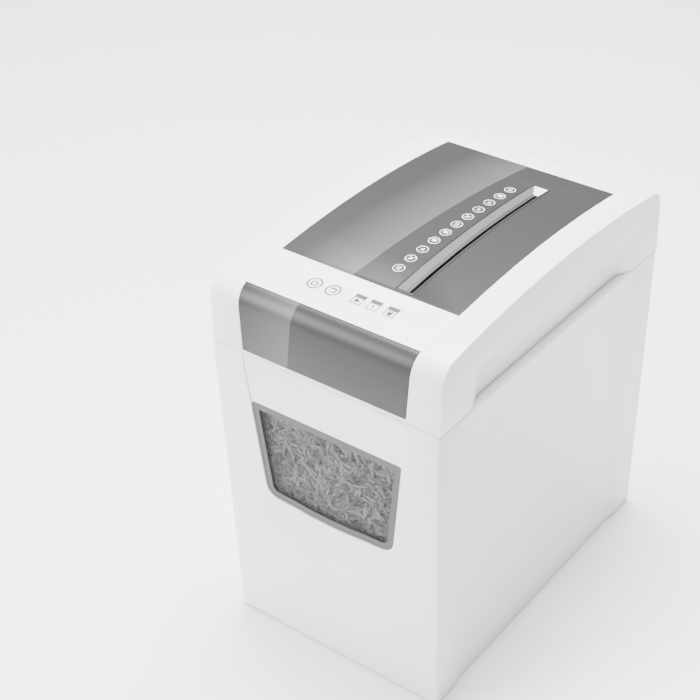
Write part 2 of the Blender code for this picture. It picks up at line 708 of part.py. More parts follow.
def make_cover():
    cover = extruded("head_cover", arch_outline(0), RIM_WIDTH, yz_frame(0), "white_plastic")
    soften(cover, COVER_EDGE, 2)
    foot = block("cover_foot", (-0.2, -0.3, SEAT_Z - 0.05), (0.2, 0.3, SEAT_Z), helper=True)
    hollow = extruded(
        "cover_hollow", arch_outline(COVER_WALL, SEAT_Z - 0.04), RIM_WIDTH - 2 * COVER_WALL, yz_frame(0), helper=True
    )
    for side, word in ((-1, "left"), (1, "right")):
        cut(cover, cover_dip(f"{word}_cover_dip", side, 0))
        cut(hollow, cover_dip(f"{word}_cover_dip_inside", side, COVER_WALL))
    cut(cover, hollow, foot)
    boss_low = SKIRT_BOTTOM + SKIRT_FLOOR + GAP
    roof = extruded(
        "boss_roof", arch_outline(COVER_WALL / 2, boss_low - 0.02), RIM_WIDTH, yz_frame(0), helper=True
    )
    for i, (x, y) in enumerate(BOSS_SPOTS):
        middle, length = (CROWN_TOP + boss_low) / 2, CROWN_TOP - boss_low
        boss = rod(f"cover_boss_{i}", "Z", (x, y, middle), BOSS_RADIUS, length, helper=True, sides=12)
        join(cover, keep(boss, roof))
        hole = rod(f"boss_hole_{i}", "Z", (x, y, boss_low), SCREW_RADIUS + GAP, 0.03, helper=True, sides=10)
        cut(cover, hole)
    pocket = skin("panel_pocket", -0.002, PANEL_THICK + GAP, *grown(PANEL_LOW, PANEL_HIGH, GAP), helper=True)
    strip = skin("strip_pocket", -0.002, STRIP_THICK + GAP, *grown(STRIP_LOW, STRIP_HIGH, GAP), helper=True)
    cut(cover, pocket, strip)
    plate = skin(
        "plate_pocket",
        -0.002,
        PLATE_THICK + GAP,
        (-0.11, FRONT_Y - 0.01, RIM_HEIGHT + PLATE_BOTTOM - GAP),
        (0.11, FRONT_Y + 0.05, RIM_HEIGHT + PLATE_TOP + GAP),
        helper=True,
    )
    cut(cover, keep(plate, plate_limits("plate_pocket_sides", GAP)))
    cut(cover, slot_cutter("cover_slot", GAP, CROWN_TOP - 0.03, CROWN_TOP + 0.01))
    inlet = (INLET_X, BACK_Y, RIM_HEIGHT + INLET_RISE)
    cut(cover, rod("inlet_hole", "Y", inlet, INLET_RADIUS + GAP, 0.03, helper=True, sides=18))
    for name, frame, shape in control_holes():
        cut(cover, shape(name + "_in_cover", frame))
    length = CONTROL_BOARD_DEPTH - GAP - 0.6 * COVER_WALL
    for i in (-1, 1):
        x = CONTROL_X + i * (CONTROL_BOARD[0] / 2 - 2 * BOARD_POST_RADIUS)
        post = rod(f"control_post_{i}", "Z", (0, 0, 0), BOARD_POST_RADIUS, length, helper=True, sides=10)
        post.matrix_world = surface_frame(x, STRIP_ROW_Y, CONTROL_BOARD_DEPTH - GAP - length / 2)
        join(cover, post)
    return cover


def control_holes():
    """(name, frame, maker) for each hole that a button or lens passes through."""
    found = []
    for name, x in (("power_hole", POWER_X), ("reverse_hole", REVERSE_X)):
        found.append((name, surface_frame(x, STRIP_ROW_Y), button_hole))
    for i, x in enumerate(LENS_XS):
        found.append((f"lens_hole_{i + 1}", surface_frame(x, LENS_Y), lens_hole))
    return found


def button_hole(name, frame):
    hole = rod(name, "Z", (0, 0, 0), BUTTON_RADIUS + GAP, 0.03, helper=True, sides=24)
    hole.matrix_world = frame
    return hole


def lens_hole(name, frame):
    half = (LENS_SIZE[0] / 2 + GAP, LENS_SIZE[1] / 2 + GAP)
    hole = block(name, (-half[0], -half[1], -0.015), (half[0], half[1], 0.015), helper=True)
    hole.matrix_world = frame
    return hole


def make_top_pieces():
    panel = skin("top_panel", 0, PANEL_THICK, PANEL_LOW, PANEL_HIGH, "grey_panel")
    cut(panel, slot_cutter("panel_slot", GAP, CROWN_TOP - 0.03, CROWN_TOP + 0.01))
    strip = skin("control_strip", 0, STRIP_THICK, STRIP_LOW, STRIP_HIGH, "white_plastic")
    for name, frame, shape in control_holes():
        cut(strip, shape(name + "_in_strip", frame))
    plate = skin(
        "front_plate",
        0,
        PLATE_THICK,
        (-0.11, FRONT_Y - 0.01, RIM_HEIGHT + PLATE_BOTTOM),
        (0.11, FRONT_Y + 0.05, RIM_HEIGHT + PLATE_TOP),
        "grey_panel",
    )
    keep(plate, plate_limits("front_plate_sides", 0))

    low, high = (LIP_LOW_X, LIP_FRONT, RIM_HEIGHT + 0.03), (LIP_HIGH_X, LIP_BACK, CROWN_TOP + 0.02)
    lip = skin("slot_lip", 0, LIP_DEPTH, low, high, "lip_grey")
    slit_low = (SLOT_X - SLOT_WIDTH / 2, SLOT_CENTRE_Y - SLOT_LENGTH / 2, CROWN_TOP - 0.03)
    slit_high = (SLOT_X + SLOT_WIDTH / 2, SLOT_CENTRE_Y + SLOT_LENGTH / 2, CROWN_TOP + 0.01)
    ledge_low = (LIP_LOW_X + LIP_RIM / 2, slit_low[1], RIM_HEIGHT + 0.03)
    ledge_high = (SLOT_X, slit_high[1], CROWN_TOP + 0.02)
    ledge = skin("lip_ledge", -0.002, LIP_DEPTH * 0.45, ledge_low, ledge_high, helper=True)
    cut(lip, ledge, block("lip_slit", slit_low, slit_high, helper=True))

    for name, x in (("power_button", POWER_X), ("reverse_button", REVERSE_X)):
        button = rod(name, "Z", (0, 0, 0), BUTTON_RADIUS, BUTTON_THICK, "white_plastic", 24)
        button.matrix_world = surface_frame(x, STRIP_ROW_Y, BUTTON_THICK / 2)
    for i, x in enumerate(LENS_XS):
        half = (LENS_SIZE[0] / 2, LENS_SIZE[1] / 2, LENS_THICK / 2)
        lens = block(f"status_lens_{i + 1}", tuple(-v for v in half), half, "lip_grey")
        lens.matrix_world = surface_frame(x, LENS_Y, LENS_THICK / 2)


# ---------------------------------------------------------------- skirt and tray
def skirt_form(name, inset, low, high, colour=None, helper=False):
    """The tapered box that nests in the bin, moved inwards by inset."""
    bm = bmesh.new()
    bmesh.ops.create_cube(bm, size=2.0)
    for vert in bm.verts:
        z = high if vert.co.z > 0 else low
        taper = SKIRT_TAPER * max(0.0, (RIM_HEIGHT - z) / SKIRT_DEPTH)
        vert.co = (
            math.copysign(bin_half_width(min(z, RIM_HEIGHT)) - SKIRT_INSET - taper - inset, vert.co.x),
            math.copysign(bin_half_depth(min(z, RIM_HEIGHT)) - SKIRT_INSET - taper - inset, vert.co.y),
            z,
        )
    posts = [e for e in bm.edges if abs(e.verts[0].co.z - e.verts[1].co.z) > (high - low) / 2]
    bmesh.ops.bevel(bm, geom=posts, offset=SKIRT_ROUND - inset, segments=3, profile=0.5, affect="EDGES")
    return place(rounded(mesh_from(bm, name)), name, colour, None, helper)


def skirt_dip(name, side, wall):
    corners = {}
    flank = SKIRT_DIP_SLANT / SKIRT_DIP
    for z_sign, z in ((-1, SKIRT_BOTTOM - 0.02), (1, RIM_HEIGHT + 0.03)):
        taper = SKIRT_TAPER * (RIM_HEIGHT - z) / SKIRT_DEPTH
        outer = bin_half_width(z) - SKIRT_INSET - taper
        for y_sign, edge in ((-1, FRONT_Y + SKIRT_DIP_FRONT), (1, BACK_Y - SKIRT_DIP_BACK)):
            for x_sign, x in ((-1, outer - SKIRT_DIP - wall), (1, outer + 0.01)):
                slide = flank * (outer - x) - wall * math.hypot(1, flank)
                corners[(x_sign * side, y_sign, z_sign)] = (side * x, edge - y_sign * slide, z)
    return corner_block(name, corners, helper=True)


def make_skirt():
    skirt = skirt_form("head_skirt", 0, SKIRT_BOTTOM, RIM_HEIGHT, "white_plastic")
    hollow = skirt_form("skirt_hollow", SKIRT_WALL, SKIRT_BOTTOM + SKIRT_FLOOR, RIM_HEIGHT + 0.01, helper=True)
    for side, word in ((-1, "left"), (1, "right")):
        cut(skirt, skirt_dip(f"{word}_skirt_dip", side, 0))
        cut(hollow, skirt_dip(f"{word}_skirt_dip_inside", side, SKIRT_WALL))
    cut(skirt, hollow)
    low = (SLOT_X - EXIT_WIDTH / 2, SLOT_CENTRE_Y - EXIT_LENGTH / 2, SKIRT_BOTTOM - 0.01)
    high = (SLOT_X + EXIT_WIDTH / 2, SLOT_CENTRE_Y + EXIT_LENGTH / 2, SKIRT_BOTTOM + 0.01)
    cut(skirt, block("exit_hole", low, high, helper=True))
    for i, (x, y) in enumerate(BOSS_SPOTS):
        cut(skirt, rod(f"screw_hole_{i}", "Z", (x, y, SKIRT_BOTTOM), SCREW_RADIUS + GAP, 0.02, helper=True, sides=12))
        shank = 0.014
        profile = [
            (0, shank),
            (SCREW_RADIUS * 0.5, shank),
            (SCREW_RADIUS, shank - 0.0015),
            (SCREW_RADIUS, 0),
            (SCREW_HEAD_RADIUS, 0),
            (SCREW_HEAD_RADIUS * 0.8, -0.0016),
            (0, -0.0016),
        ]
        turned(f"case_screw_{i + 1}", profile, "Z", (x, y, SKIRT_BOTTOM - GAP), "steel", 12)
    spot = (INTERLOCK_X, INTERLOCK_Y, SKIRT_BOTTOM)
    cut(skirt, rod("plunger_hole", "Z", spot, PLUNGER_RADIUS + GAP, 0.02, helper=True, sides=12))
    for i, (x, y) in enumerate(board_corners()):
        middle = (SKIRT_BOTTOM + MAIN_BOARD_Z - GAP) / 2 + SKIRT_FLOOR / 4
        length = MAIN_BOARD_Z - GAP - SKIRT_BOTTOM - SKIRT_FLOOR / 2
        join(skirt, rod(f"board_post_{i}", "Z", (x, y, middle), BOARD_POST_RADIUS, length, helper=True, sides=10))
    return skirt


def board_corners():
    x, y = MAIN_BOARD_SPOT
    reach = (MAIN_BOARD[0] / 2 - 2 * BOARD_POST_RADIUS, MAIN_BOARD[1] / 2 - 2 * BOARD_POST_RADIUS)
    return [(x + i * reach[0], y + j * reach[1]) for i in (-1, 1) for j in (-1, 1)]


# ---------------------------------------------------------------- shredding works
def gear_outline(module, teeth, phase=0.0):
    """An involute gear, with two points on each flank and its root left open."""
    pitch = module * teeth / 2
    base = pitch * math.cos(PRESSURE_ANGLE)
    tip = pitch + module * GEAR_STEP_UP
    root = pitch - module * GEAR_STEP_DOWN
    half_tooth = (math.pi / teeth) * (0.5 - GEAR_BACKLASH / 2)
    stations = (root, max(base, root + 0.2 * module), pitch, tip)
    halves = [half_tooth + involute(pitch, base) - involute(radius, base) for radius in stations]
    points = []
    for i in range(teeth):
        middle = phase + 2 * math.pi * i / teeth
        points += [(radius, middle - half) for radius, half in zip(stations, halves)]
        points += [(radius, middle + half) for radius, half in reversed(list(zip(stations, halves)))]
    return [(radius * math.cos(angle), radius * math.sin(angle)) for radius, angle in points]


def involute(radius, base):
    """How far the involute has turned when it reaches this radius."""
    ratio = max(1.0, radius / base)
    return math.sqrt(ratio * ratio - 1) - math.acos(1 / ratio)


def y_frame(x, y, z=SHAFT_Z):
    """Local Z along world +Y and local X along world +X, for shapes on a shaft."""
    return Matrix.Translation((x, y, z)) @ Matrix(((1, 0, 0, 0), (0, 0, 1, 0), (0, -1, 0, 0), (0, 0, 0, 1)))


def gear(name, module, teeth, phase, x, y, width, bore, colour):
    """A spur gear whose near face is at y, with its teeth turned by phase about +Y."""
    made = extruded(name, gear_outline(module, teeth, phase), width, y_frame(x, y + width / 2), colour)
    return cut(made, rod(name + "_bore", "Y", (x, y + width / 2, SHAFT_Z), bore, width * 3, helper=True, sides=16))


def make_cutter(name, x, shift, back):
    """A shaft with its discs, which stand between the other shaft's discs."""
    front = PLATE_FRONT_Y - SHAFT_END
    profile = [(0, back), (SHAFT_RADIUS, back), (SHAFT_RADIUS, CUTTER_BACK), (CORE_RADIUS, CUTTER_BACK)]
    for i in reversed(range(CUTTERS)):
        start = CUTTER_FRONT + i * CUTTER_PITCH + shift
        end = start + CUTTER_WIDTH
        profile += [(CORE_RADIUS, end), (CUTTER_RADIUS, end), (CUTTER_RADIUS, start), (CORE_RADIUS, start)]
    profile += [(CORE_RADIUS, CUTTER_FRONT), (SHAFT_RADIUS, CUTTER_FRONT), (SHAFT_RADIUS, front), (0, front)]
    return turned(name, profile, "Y", (x, 0, SHAFT_Z), "steel", 16)


def make_frame():
    """The two bearing plates, their bushes, the tie bars and the stripper combs."""
    low_x, high_x = SHAFT_A_X - FRAME_REACH, SHAFT_B_X + FRAME_REACH
    top = TRAY_Z + FRAME_HEIGHT
    spots = {
        "front": (PLATE_FRONT_Y, low_x, -1),
        "back": (PLATE_BACK_Y, MOTOR_X - STATOR_SIZE[0] / 2, 1),
    }
    for end, (y, left, way) in spots.items():
        plate = block(f"bearing_plate_{end}", (left, y, TRAY_Z), (high_x, y + SIDE_PLATE_THICK, top), "steel")
        middle = y + SIDE_PLATE_THICK / 2
        for side, x in (("a", SHAFT_A_X), ("b", SHAFT_B_X)):
            hole = rod(f"bush_hole_{end}_{side}", "Y", (x, middle, SHAFT_Z), BUSH_RADIUS + GAP, 0.02, helper=True)
            cut(plate, hole)
            outer = y + SIDE_PLATE_THICK * (way > 0) + way * (BUSH_FLANGE + GAP)
            inner = y + SIDE_PLATE_THICK * (way < 0)
            profile = [
                (BUSH_RADIUS + 0.002, max(outer, outer - way * BUSH_FLANGE)),
                (BUSH_RADIUS + 0.002, min(outer, outer - way * BUSH_FLANGE)),
            ]
            ends = sorted((inner, outer - way * BUSH_FLANGE), reverse=True)
            bore = SHAFT_RADIUS + GAP
            if way > 0:
                ring = [(bore, outer)] + profile + [(BUSH_RADIUS, ends[0]), (BUSH_RADIUS, ends[1]), (bore, ends[1])]
            else:
                ring = [(bore, ends[0]), (BUSH_RADIUS, ends[0]), (BUSH_RADIUS, ends[1])] + profile
                ring += [(bore, outer)]
            ring.append(ring[0])
            turned(f"bush_{end}_{side}", ring, "Y", (x, 0, SHAFT_Z), "brass", 16)
        if end == "back":
            shaft = rod("motor_shaft_hole", "Y", (MOTOR_X, middle, SHAFT_Z), MOTOR_SHAFT_RADIUS + GAP, 0.02, helper=True)
            cut(plate, shaft)
    span_low, span_high = PLATE_FRONT_Y + SIDE_PLATE_THICK + GAP, PLATE_BACK_Y - GAP
    for x_sign, side in ((-1, "left"), (1, "right")):
        centre = (SLOT_X + x_sign * TIE_HALF_SPREAD, (span_low + span_high) / 2, SHAFT_Z - TIE_DROP)
        rod(f"tie_bar_{side}", "Y", centre, TIE_RADIUS, span_high - span_low, "steel", 12)
    for name, x, way, shift in (
        ("stripper_comb_a", SHAFT_A_X, -1, 0.0),
        ("stripper_comb_b", SHAFT_B_X, 1, CUTTER_PITCH / 2),
    ):
        make_comb(name, x, way, shift, span_low, span_high)


def make_comb(name, x, way, shift, span_low, span_high):
    """A flat comb beside a shaft, with a finger in each space between its discs."""
    back_x = CUTTER_RADIUS + COMB_BACK
    outline = [(x + way * back_x, span_low), (x + way * (CUTTER_RADIUS + 0.001), span_low)]
    for i in range(CUTTERS):
        disc_end = CUTTER_FRONT + i * CUTTER_PITCH + shift + CUTTER_WIDTH
        start = disc_end + 0.0014
        end = disc_end + CUTTER_PITCH - CUTTER_WIDTH - 0.0014
        if end > span_high - 0.002:
            continue
        outline += [(x + way * (CUTTER_RADIUS + 0.001), start), (x + way * (CORE_RADIUS + 0.0012), start)]
        outline += [(x + way * (CORE_RADIUS + 0.0012), end), (x + way * (CUTTER_RADIUS + 0.001), end)]
    outline += [(x + way * (CUTTER_RADIUS + 0.001), span_high), (x + way * back_x, span_high)]
    extruded(name, outline, STRIPPER_THICK, flat_frame(SHAFT_Z), "steel")


def make_cutters():
    """Both cutter shafts, the synchronising gears and the reduction train."""
    make_cutter("cutter_shaft_a", SHAFT_A_X, DISC_MARGIN, DRIVE_Y + DRIVE_WIDTH + 0.002)
    make_cutter("cutter_shaft_b", SHAFT_B_X, DISC_MARGIN + CUTTER_PITCH / 2, SYNC_Y + SYNC_WIDTH + 0.001)
    bore = SHAFT_RADIUS + GAP
    gear("sync_gear_a", SYNC_MODULE, SYNC_TEETH, 0, SHAFT_A_X, SYNC_Y, SYNC_WIDTH, bore, "steel")
    turned_tooth = math.pi + math.pi / SYNC_TEETH
    gear("sync_gear_b", SYNC_MODULE, SYNC_TEETH, turned_tooth, SHAFT_B_X, SYNC_Y, SYNC_WIDTH, bore, "steel")
    gear("drive_gear", DRIVE_MODULE, DRIVE_TEETH, 0, SHAFT_A_X, DRIVE_Y, DRIVE_WIDTH, bore, "nylon")

    pin_bore = IDLER_PIN_RADIUS + GAP
    small_phase = math.pi / IDLER_SMALL_TEETH
    idler = gear(
        "idler_gear", MOTOR_MODULE, IDLER_BIG_TEETH, 0, IDLER_X, MOTOR_GEAR_Y, MOTOR_GEAR_WIDTH, pin_bore, "nylon"
    )
    width = DRIVE_WIDTH + GEAR_GAP + 0.002
    small = extruded(
        "idler_small",
        gear_outline(DRIVE_MODULE, IDLER_SMALL_TEETH, small_phase),
        width,
        y_frame(IDLER_X, DRIVE_Y + width / 2),
        helper=True,
    )
    hole = rod("idler_small_bore", "Y", (IDLER_X, DRIVE_Y, SHAFT_Z), pin_bore, 0.06, helper=True, sides=16)
    join(idler, cut(small, hole))
    pin_low, pin_high = PLATE_BACK_Y + SIDE_PLATE_THICK + GAP, GEARBOX_BACK - GEARBOX_WALL - GAP
    rod(
        "idler_pin",
        "Y",
        (IDLER_X, (pin_low + pin_high) / 2, SHAFT_Z),
        IDLER_PIN_RADIUS,
        pin_high - pin_low,
        "steel",
        14,
    )
    pinion_phase = math.pi / PINION_TEETH
    gear(
        "motor_pinion",
        MOTOR_MODULE,
        PINION_TEETH,
        pinion_phase,
        MOTOR_X,
        MOTOR_GEAR_Y,
        MOTOR_GEAR_WIDTH,
        MOTOR_SHAFT_RADIUS + GAP,
        "steel",
    )
    make_gearbox()


def make_gearbox():
    """A cup over the gears, open towards the back bearing plate."""
    front = PLATE_BACK_Y + SIDE_PLATE_THICK + GAP
    low = (MOTOR_X - GEARBOX_SIDE, front, SHAFT_Z - GEARBOX_HALF)
    high = (SHAFT_B_X + GEARBOX_REACH, GEARBOX_BACK, SHAFT_Z + GEARBOX_HALF)
    box = block("gearbox_cover", low, high, "dark_plastic", 0.0015)
    inner_low = (low[0] + GEARBOX_WALL, front - 0.01, low[2] + GEARBOX_WALL)
    inner_high = (high[0] - GEARBOX_WALL, GEARBOX_BACK - GEARBOX_WALL, high[2] - GEARBOX_WALL)
    cut(box, block("gearbox_hollow", inner_low, inner_high, helper=True))


def make_chute():
    """The two plates that guide the paper to the cutters, with the sensor flap in the right one."""
    top = crown_z(LIP_FRONT) - LIP_DEPTH - 2 * GAP
    low = SHAFT_Z + CUTTER_RADIUS + 0.002
    ends = (SLOT_CENTRE_Y - SLOT_LENGTH / 2, SLOT_CENTRE_Y + SLOT_LENGTH / 2)
    half = SLOT_WIDTH / 2
    wall = CHUTE_WALL
    span = (ends[0] - wall, ends[1] + wall)
    left = block("paper_guide_left", (SLOT_X - half - wall, span[0], low), (SLOT_X - half, span[1], top), "dark_plastic")
    collar = ((SLOT_X - half - CHUTE_COLLAR, span[0], top - wall), (SLOT_X - half, span[1], top))
    join(left, block("guide_collar", *collar, helper=True))
    chute = block(
        "paper_guide_right", (SLOT_X + half, span[0], low), (SLOT_X + half + wall, span[1], top), "dark_plastic"
    )
    ear_low, ear_high = FLAP_Z - 0.003, FLAP_Z + 0.003
    ear_end = SLOT_X + half + wall + FLAP_REACH
    for sign, side in ((-1, "near"), (1, "far")):
        y = FLAP_Y + sign * (FLAP_WIDTH / 2 + 0.0018)
        ear = block(
            f"flap_ear_{side}", (SLOT_X + half + 0.0005, y - 0.001, ear_low), (ear_end, y + 0.001, ear_high), helper=True
        )
        join(chute, ear)
    pivot = (ear_end - 0.0025, FLAP_Y, FLAP_Z)
    cut(chute, rod("flap_pin_hole", "Y", pivot, FLAP_PIN + GAP, 0.02, helper=True, sides=12))
    window = block(
        "flap_window",
        (SLOT_X, FLAP_Y - FLAP_WIDTH / 2 - 0.0008, FLAP_Z - 0.013),
        (SLOT_X + half + wall + 0.0002, FLAP_Y + FLAP_WIDTH / 2 + 0.0008, FLAP_Z + 0.004),
        helper=True,
    )
    cut(chute, window)
    flap = block(
        "sensor_flap",
        (SLOT_X - half + 0.0006, FLAP_Y - FLAP_WIDTH / 2, FLAP_Z - 0.0007),
        (pivot[0], FLAP_Y + FLAP_WIDTH / 2, FLAP_Z + 0.0007),
        "dark_plastic",
    )
    join(flap, rod("flap_axle", "Y", pivot, FLAP_PIN, FLAP_WIDTH + 0.0056, helper=True, sides=12))
    join(flap, rod("flap_barrel", "Y", pivot, FLAP_PIN + 0.001, FLAP_WIDTH, helper=True, sides=12))


# ---------------------------------------------------------------- motor and electrics
def make_motor():
    x, y, z = MOTOR_X, MOTOR_CENTRE_Y, SHAFT_Z
    half = Vector(STATOR_SIZE) / 2
    stack_front, stack_back = y - half.y, y + half.y
    stator = block("motor_stator", Vector((x, y, z)) - half, Vector((x, y, z)) + half, "steel", 0.003)
    cut(stator, rod("stator_bore", "Y", (x, y, z), STATOR_BORE, 0.2, helper=True, sides=24))
    for end, face, way in (("front", stack_front, -1), ("back", stack_back, 1)):
        near, far = face + way * GAP, face + way * (GAP + COIL_THICK)
        high, low = max(near, far), min(near, far)
        ring = [(COIL_OUTER, high), (COIL_OUTER, low), (STATOR_BORE, low), (STATOR_BORE, high), (COIL_OUTER, high)]
        turned(f"field_coil_{end}", ring, "Y", (x, 0, z), "copper", 20)
        lip = face + way * GAP
        crown = face + way * MOTOR_CAP_LENGTH
        low_corner = (x - half.x, min(lip, crown), z - half.z)
        high_corner = (x + half.x, max(lip, crown), z + half.z)
        cap = block(f"motor_cap_{end}", low_corner, high_corner, "dark_plastic", 0.0015)
        inner_crown = crown - way * MOTOR_CAP_WALL
        inner_lip = lip - way * 0.01
        hollow = block(
            f"motor_cap_hollow_{end}",
            (x - half.x + MOTOR_CAP_WALL, min(inner_lip, inner_crown), z - half.z + MOTOR_CAP_WALL),
            (x + half.x - MOTOR_CAP_WALL, max(inner_lip, inner_crown), z + half.z - MOTOR_CAP_WALL),
            helper=True,
        )
        hole = rod(f"motor_cap_hole_{end}", "Y", (x, crown, z), MOTOR_SHAFT_RADIUS + GAP, 0.02, helper=True, sides=14)
        cut(cap, hollow, hole)
    core = ARMATURE_LENGTH / 2
    rotor_back = MOTOR_GEAR_Y + MOTOR_GEAR_WIDTH + 0.001
    rotor_front = stack_front - MOTOR_CAP_LENGTH - 0.003
    commutator_back = y - core - 0.001
    commutator_front = commutator_back - COMMUTATOR_LENGTH
    profile = [
        (0, rotor_back),
        (MOTOR_SHAFT_RADIUS, rotor_back),
        (MOTOR_SHAFT_RADIUS, y + core),
        (ARMATURE_RADIUS, y + core),
        (ARMATURE_RADIUS, y - core),
        (COMMUTATOR_RADIUS - 0.002, y - core),
        (COMMUTATOR_RADIUS - 0.002, commutator_back),
        (COMMUTATOR_RADIUS, commutator_back),
        (COMMUTATOR_RADIUS, commutator_front),
        (MOTOR_SHAFT_RADIUS, commutator_front),
        (MOTOR_SHAFT_RADIUS, rotor_front),
        (0, rotor_front),
    ]
    turned("motor_armature", profile, "Y", (x, 0, z), "copper", 20)
    make_fan(x, stack_back + MOTOR_CAP_LENGTH + 0.004, z)
    cradle_top = z - half.z - GAP
    block("motor_cradle", (x - 0.020, stack_front + 0.006, TRAY_Z), (x + 0.020, stack_back - 0.006, cradle_top), "dark_plastic")


def make_fan(x, y, z):
    """A cooling fan on the motor's shaft: a hub with flat blades."""
    hub = FAN_HUB
    outline = []
    for i in range(FAN_BLADES):
        middle = 2 * math.pi * i / FAN_BLADES
        blade = math.pi / FAN_BLADES * 0.55
        outline += [(hub, middle - blade * 1.2), (FAN_RADIUS, middle - blade), (FAN_RADIUS, middle + blade)]
        outline += [(hub, middle + blade * 1.2)]
    points = [(radius * math.cos(angle), radius * math.sin(angle)) for radius, angle in outline]
    fan = extruded("motor_fan", points, FAN_THICK, y_frame(x, y + FAN_THICK / 2, z), "dark_plastic")
    cut(fan, rod("fan_bore", "Y", (x, y, z), MOTOR_SHAFT_RADIUS + GAP, 0.05, helper=True, sides=14))


def make_electrics():
    x, y = MAIN_BOARD_SPOT
    half = (MAIN_BOARD[0] / 2, MAIN_BOARD[1] / 2)
    board_top = MAIN_BOARD_Z + BOARD_THICK
    block("main_board", (x - half[0], y - half[1], MAIN_BOARD_Z), (x + half[0], y + half[1], board_top), "board")
    lift = board_top + GAP + CAPACITOR_RADIUS
    rod("motor_capacitor", "X", (x - 0.012, y + 0.012, lift), CAPACITOR_RADIUS, CAPACITOR_LENGTH, "dark_plastic", 16)

    size = Vector((*CONTROL_BOARD, BOARD_THICK)) / 2
    board = block("control_board", -size, size, "board")
    board.matrix_world = surface_frame(CONTROL_X, STRIP_ROW_Y, CONTROL_BOARD_DEPTH + BOARD_THICK / 2)
    size = Vector((SWITCH_SIZE, SWITCH_SIZE, SWITCH_HEIGHT)) / 2
    for name, x in (("power_switch", POWER_X), ("reverse_switch", REVERSE_X)):
        body = block(name, -size, size, "dark_plastic")
        body.matrix_world = surface_frame(x, STRIP_ROW_Y, CONTROL_BOARD_DEPTH - GAP - SWITCH_HEIGHT / 2)
    spot = Vector((INTERLOCK_X, INTERLOCK_Y, TRAY_Z))
    size = Vector(INTERLOCK_SIZE)
    body = block(
        "interlock_switch",
        (spot.x - size.x / 2, spot.y - size.y / 2, TRAY_Z),
        (spot.x + size.x / 2, spot.y + size.y / 2, TRAY_Z + size.z),
        "dark_plastic",
    )
    well = rod("plunger_well", "Z", spot, PLUNGER_RADIUS + GAP, 0.018, helper=True, sides=12)
    cut(body, well)
    low, high = SKIRT_BOTTOM - PLUNGER_PROUD, TRAY_Z + 0.006
    rod("interlock_plunger", "Z", (spot.x, spot.y, (low + high) / 2), PLUNGER_RADIUS, high - low, "lip_grey", 12)

    z = RIM_HEIGHT + INLET_RISE
    wall_y = BACK_Y - BACK_LEAN * INLET_RISE / 0.065
    outer, inner = wall_y - 0.0004, wall_y - COVER_WALL - 3 * GAP
    profile = [
        (0, outer),
        (INLET_RADIUS - 0.0006, outer),
        (INLET_RADIUS, outer - 0.0006),
        (INLET_RADIUS, inner),
        (INLET_FLANGE, inner),
        (INLET_FLANGE, inner - 0.002),
        (INLET_RADIUS - 0.001, inner - 0.002),
        (INLET_RADIUS - 0.001, inner - 0.008),
        (0, inner - 0.008),
    ]
    turned("cord_gland", profile, "Y", (INLET_X, 0, z), "rubber", 18)


def main():
    clear_scene()
    make_collections()
    make_finishes()
    make_bin()
    make_cover()
    make_top_pieces()
    make_skirt()
    make_frame()
    make_cutters()
    make_chute()
    make_motor()
    make_electrics()


main()
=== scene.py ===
"""A paper shredder with a lift-off head, dressed over its CAD frame."""

import math
import random

import bmesh
import bpy
from mathutils import Matrix, Vector
from mathutils.bvhtree import BVHTree


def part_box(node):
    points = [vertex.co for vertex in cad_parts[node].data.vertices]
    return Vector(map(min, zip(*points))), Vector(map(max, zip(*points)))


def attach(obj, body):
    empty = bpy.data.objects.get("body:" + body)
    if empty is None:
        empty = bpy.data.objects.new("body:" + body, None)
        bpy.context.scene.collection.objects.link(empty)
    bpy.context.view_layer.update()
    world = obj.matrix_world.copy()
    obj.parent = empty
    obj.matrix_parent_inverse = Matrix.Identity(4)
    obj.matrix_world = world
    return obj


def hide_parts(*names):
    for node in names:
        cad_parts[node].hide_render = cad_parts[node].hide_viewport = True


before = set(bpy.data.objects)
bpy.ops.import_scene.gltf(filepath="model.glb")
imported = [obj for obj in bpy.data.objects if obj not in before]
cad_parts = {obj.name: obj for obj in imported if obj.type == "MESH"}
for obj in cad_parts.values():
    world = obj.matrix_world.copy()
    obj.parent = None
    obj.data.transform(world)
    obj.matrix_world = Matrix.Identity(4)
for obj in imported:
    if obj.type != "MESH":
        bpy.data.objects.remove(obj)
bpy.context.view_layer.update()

bl_info = {
    "name": "Paper shredder",
    "version": (1, 0, 0),
    "blender": (4, 5, 0),
    "location": "View3D > Sidebar > Shredder",
    "description": "Casing, panels, controls and paper shreds for a paper shredder",
    "category": "Object",
}

# ---------------------------------------------------------------- fixed sizes, in metres
MERGE = 1e-6  # points of one piece closer than this are one point
CAD_MERGE = 2e-6  # the same for a copy of a CAD shell
FLAT_ANGLE = 0.6  # degrees: CAD faces that differ by less are one face
BEVEL_SEGMENTS = 2
PRINT_LIFT = 0.00002  # keeps a printed mark clear of the surface under it
MARK_RING_SHARE = 0.075  # line width of a mark's ring, as a share of the mark
STATUS_LINE_SHARE = 0.07  # line width of a status square, as a share of its lamp

PANEL_PROBE = 0.002  # the top panel's height is read this far to the left of the lip
LIP_TOP_DEPTH = 0.0008  # faces of the lip this near the panel's height belong to its rim
LIP_RIM = 0.0013  # the lip's rim, left of the slope
LIP_END = 0.0026  # the lip's end walls
END_RAMP_START = 0.0150  # from the lip's back end to the front of the pale ramp
# The band below is painted shadow: the lip's faces there are painted black.
SLOPE_SHADOW_BAND = 0.0032  # black band between the slope and the slit
SLOPE_SEAM = 0.0001  # gap between the slope and what it meets
SLOPE_FALL = 0.0030
SLOPE_FOOT = 0.00312  # depth of the slope's underside
END_RAMP_SUNK = 0.0002  # how far the pale ramp lies under the slope

MARKS_INSET = 0.026  # from each end of the lip to the middle of the first mark
MARKS_GAP = 0.0150  # from the lip to the middle of the front mark
MARKS_DRIFT = 0.0040  # how much closer the back mark is

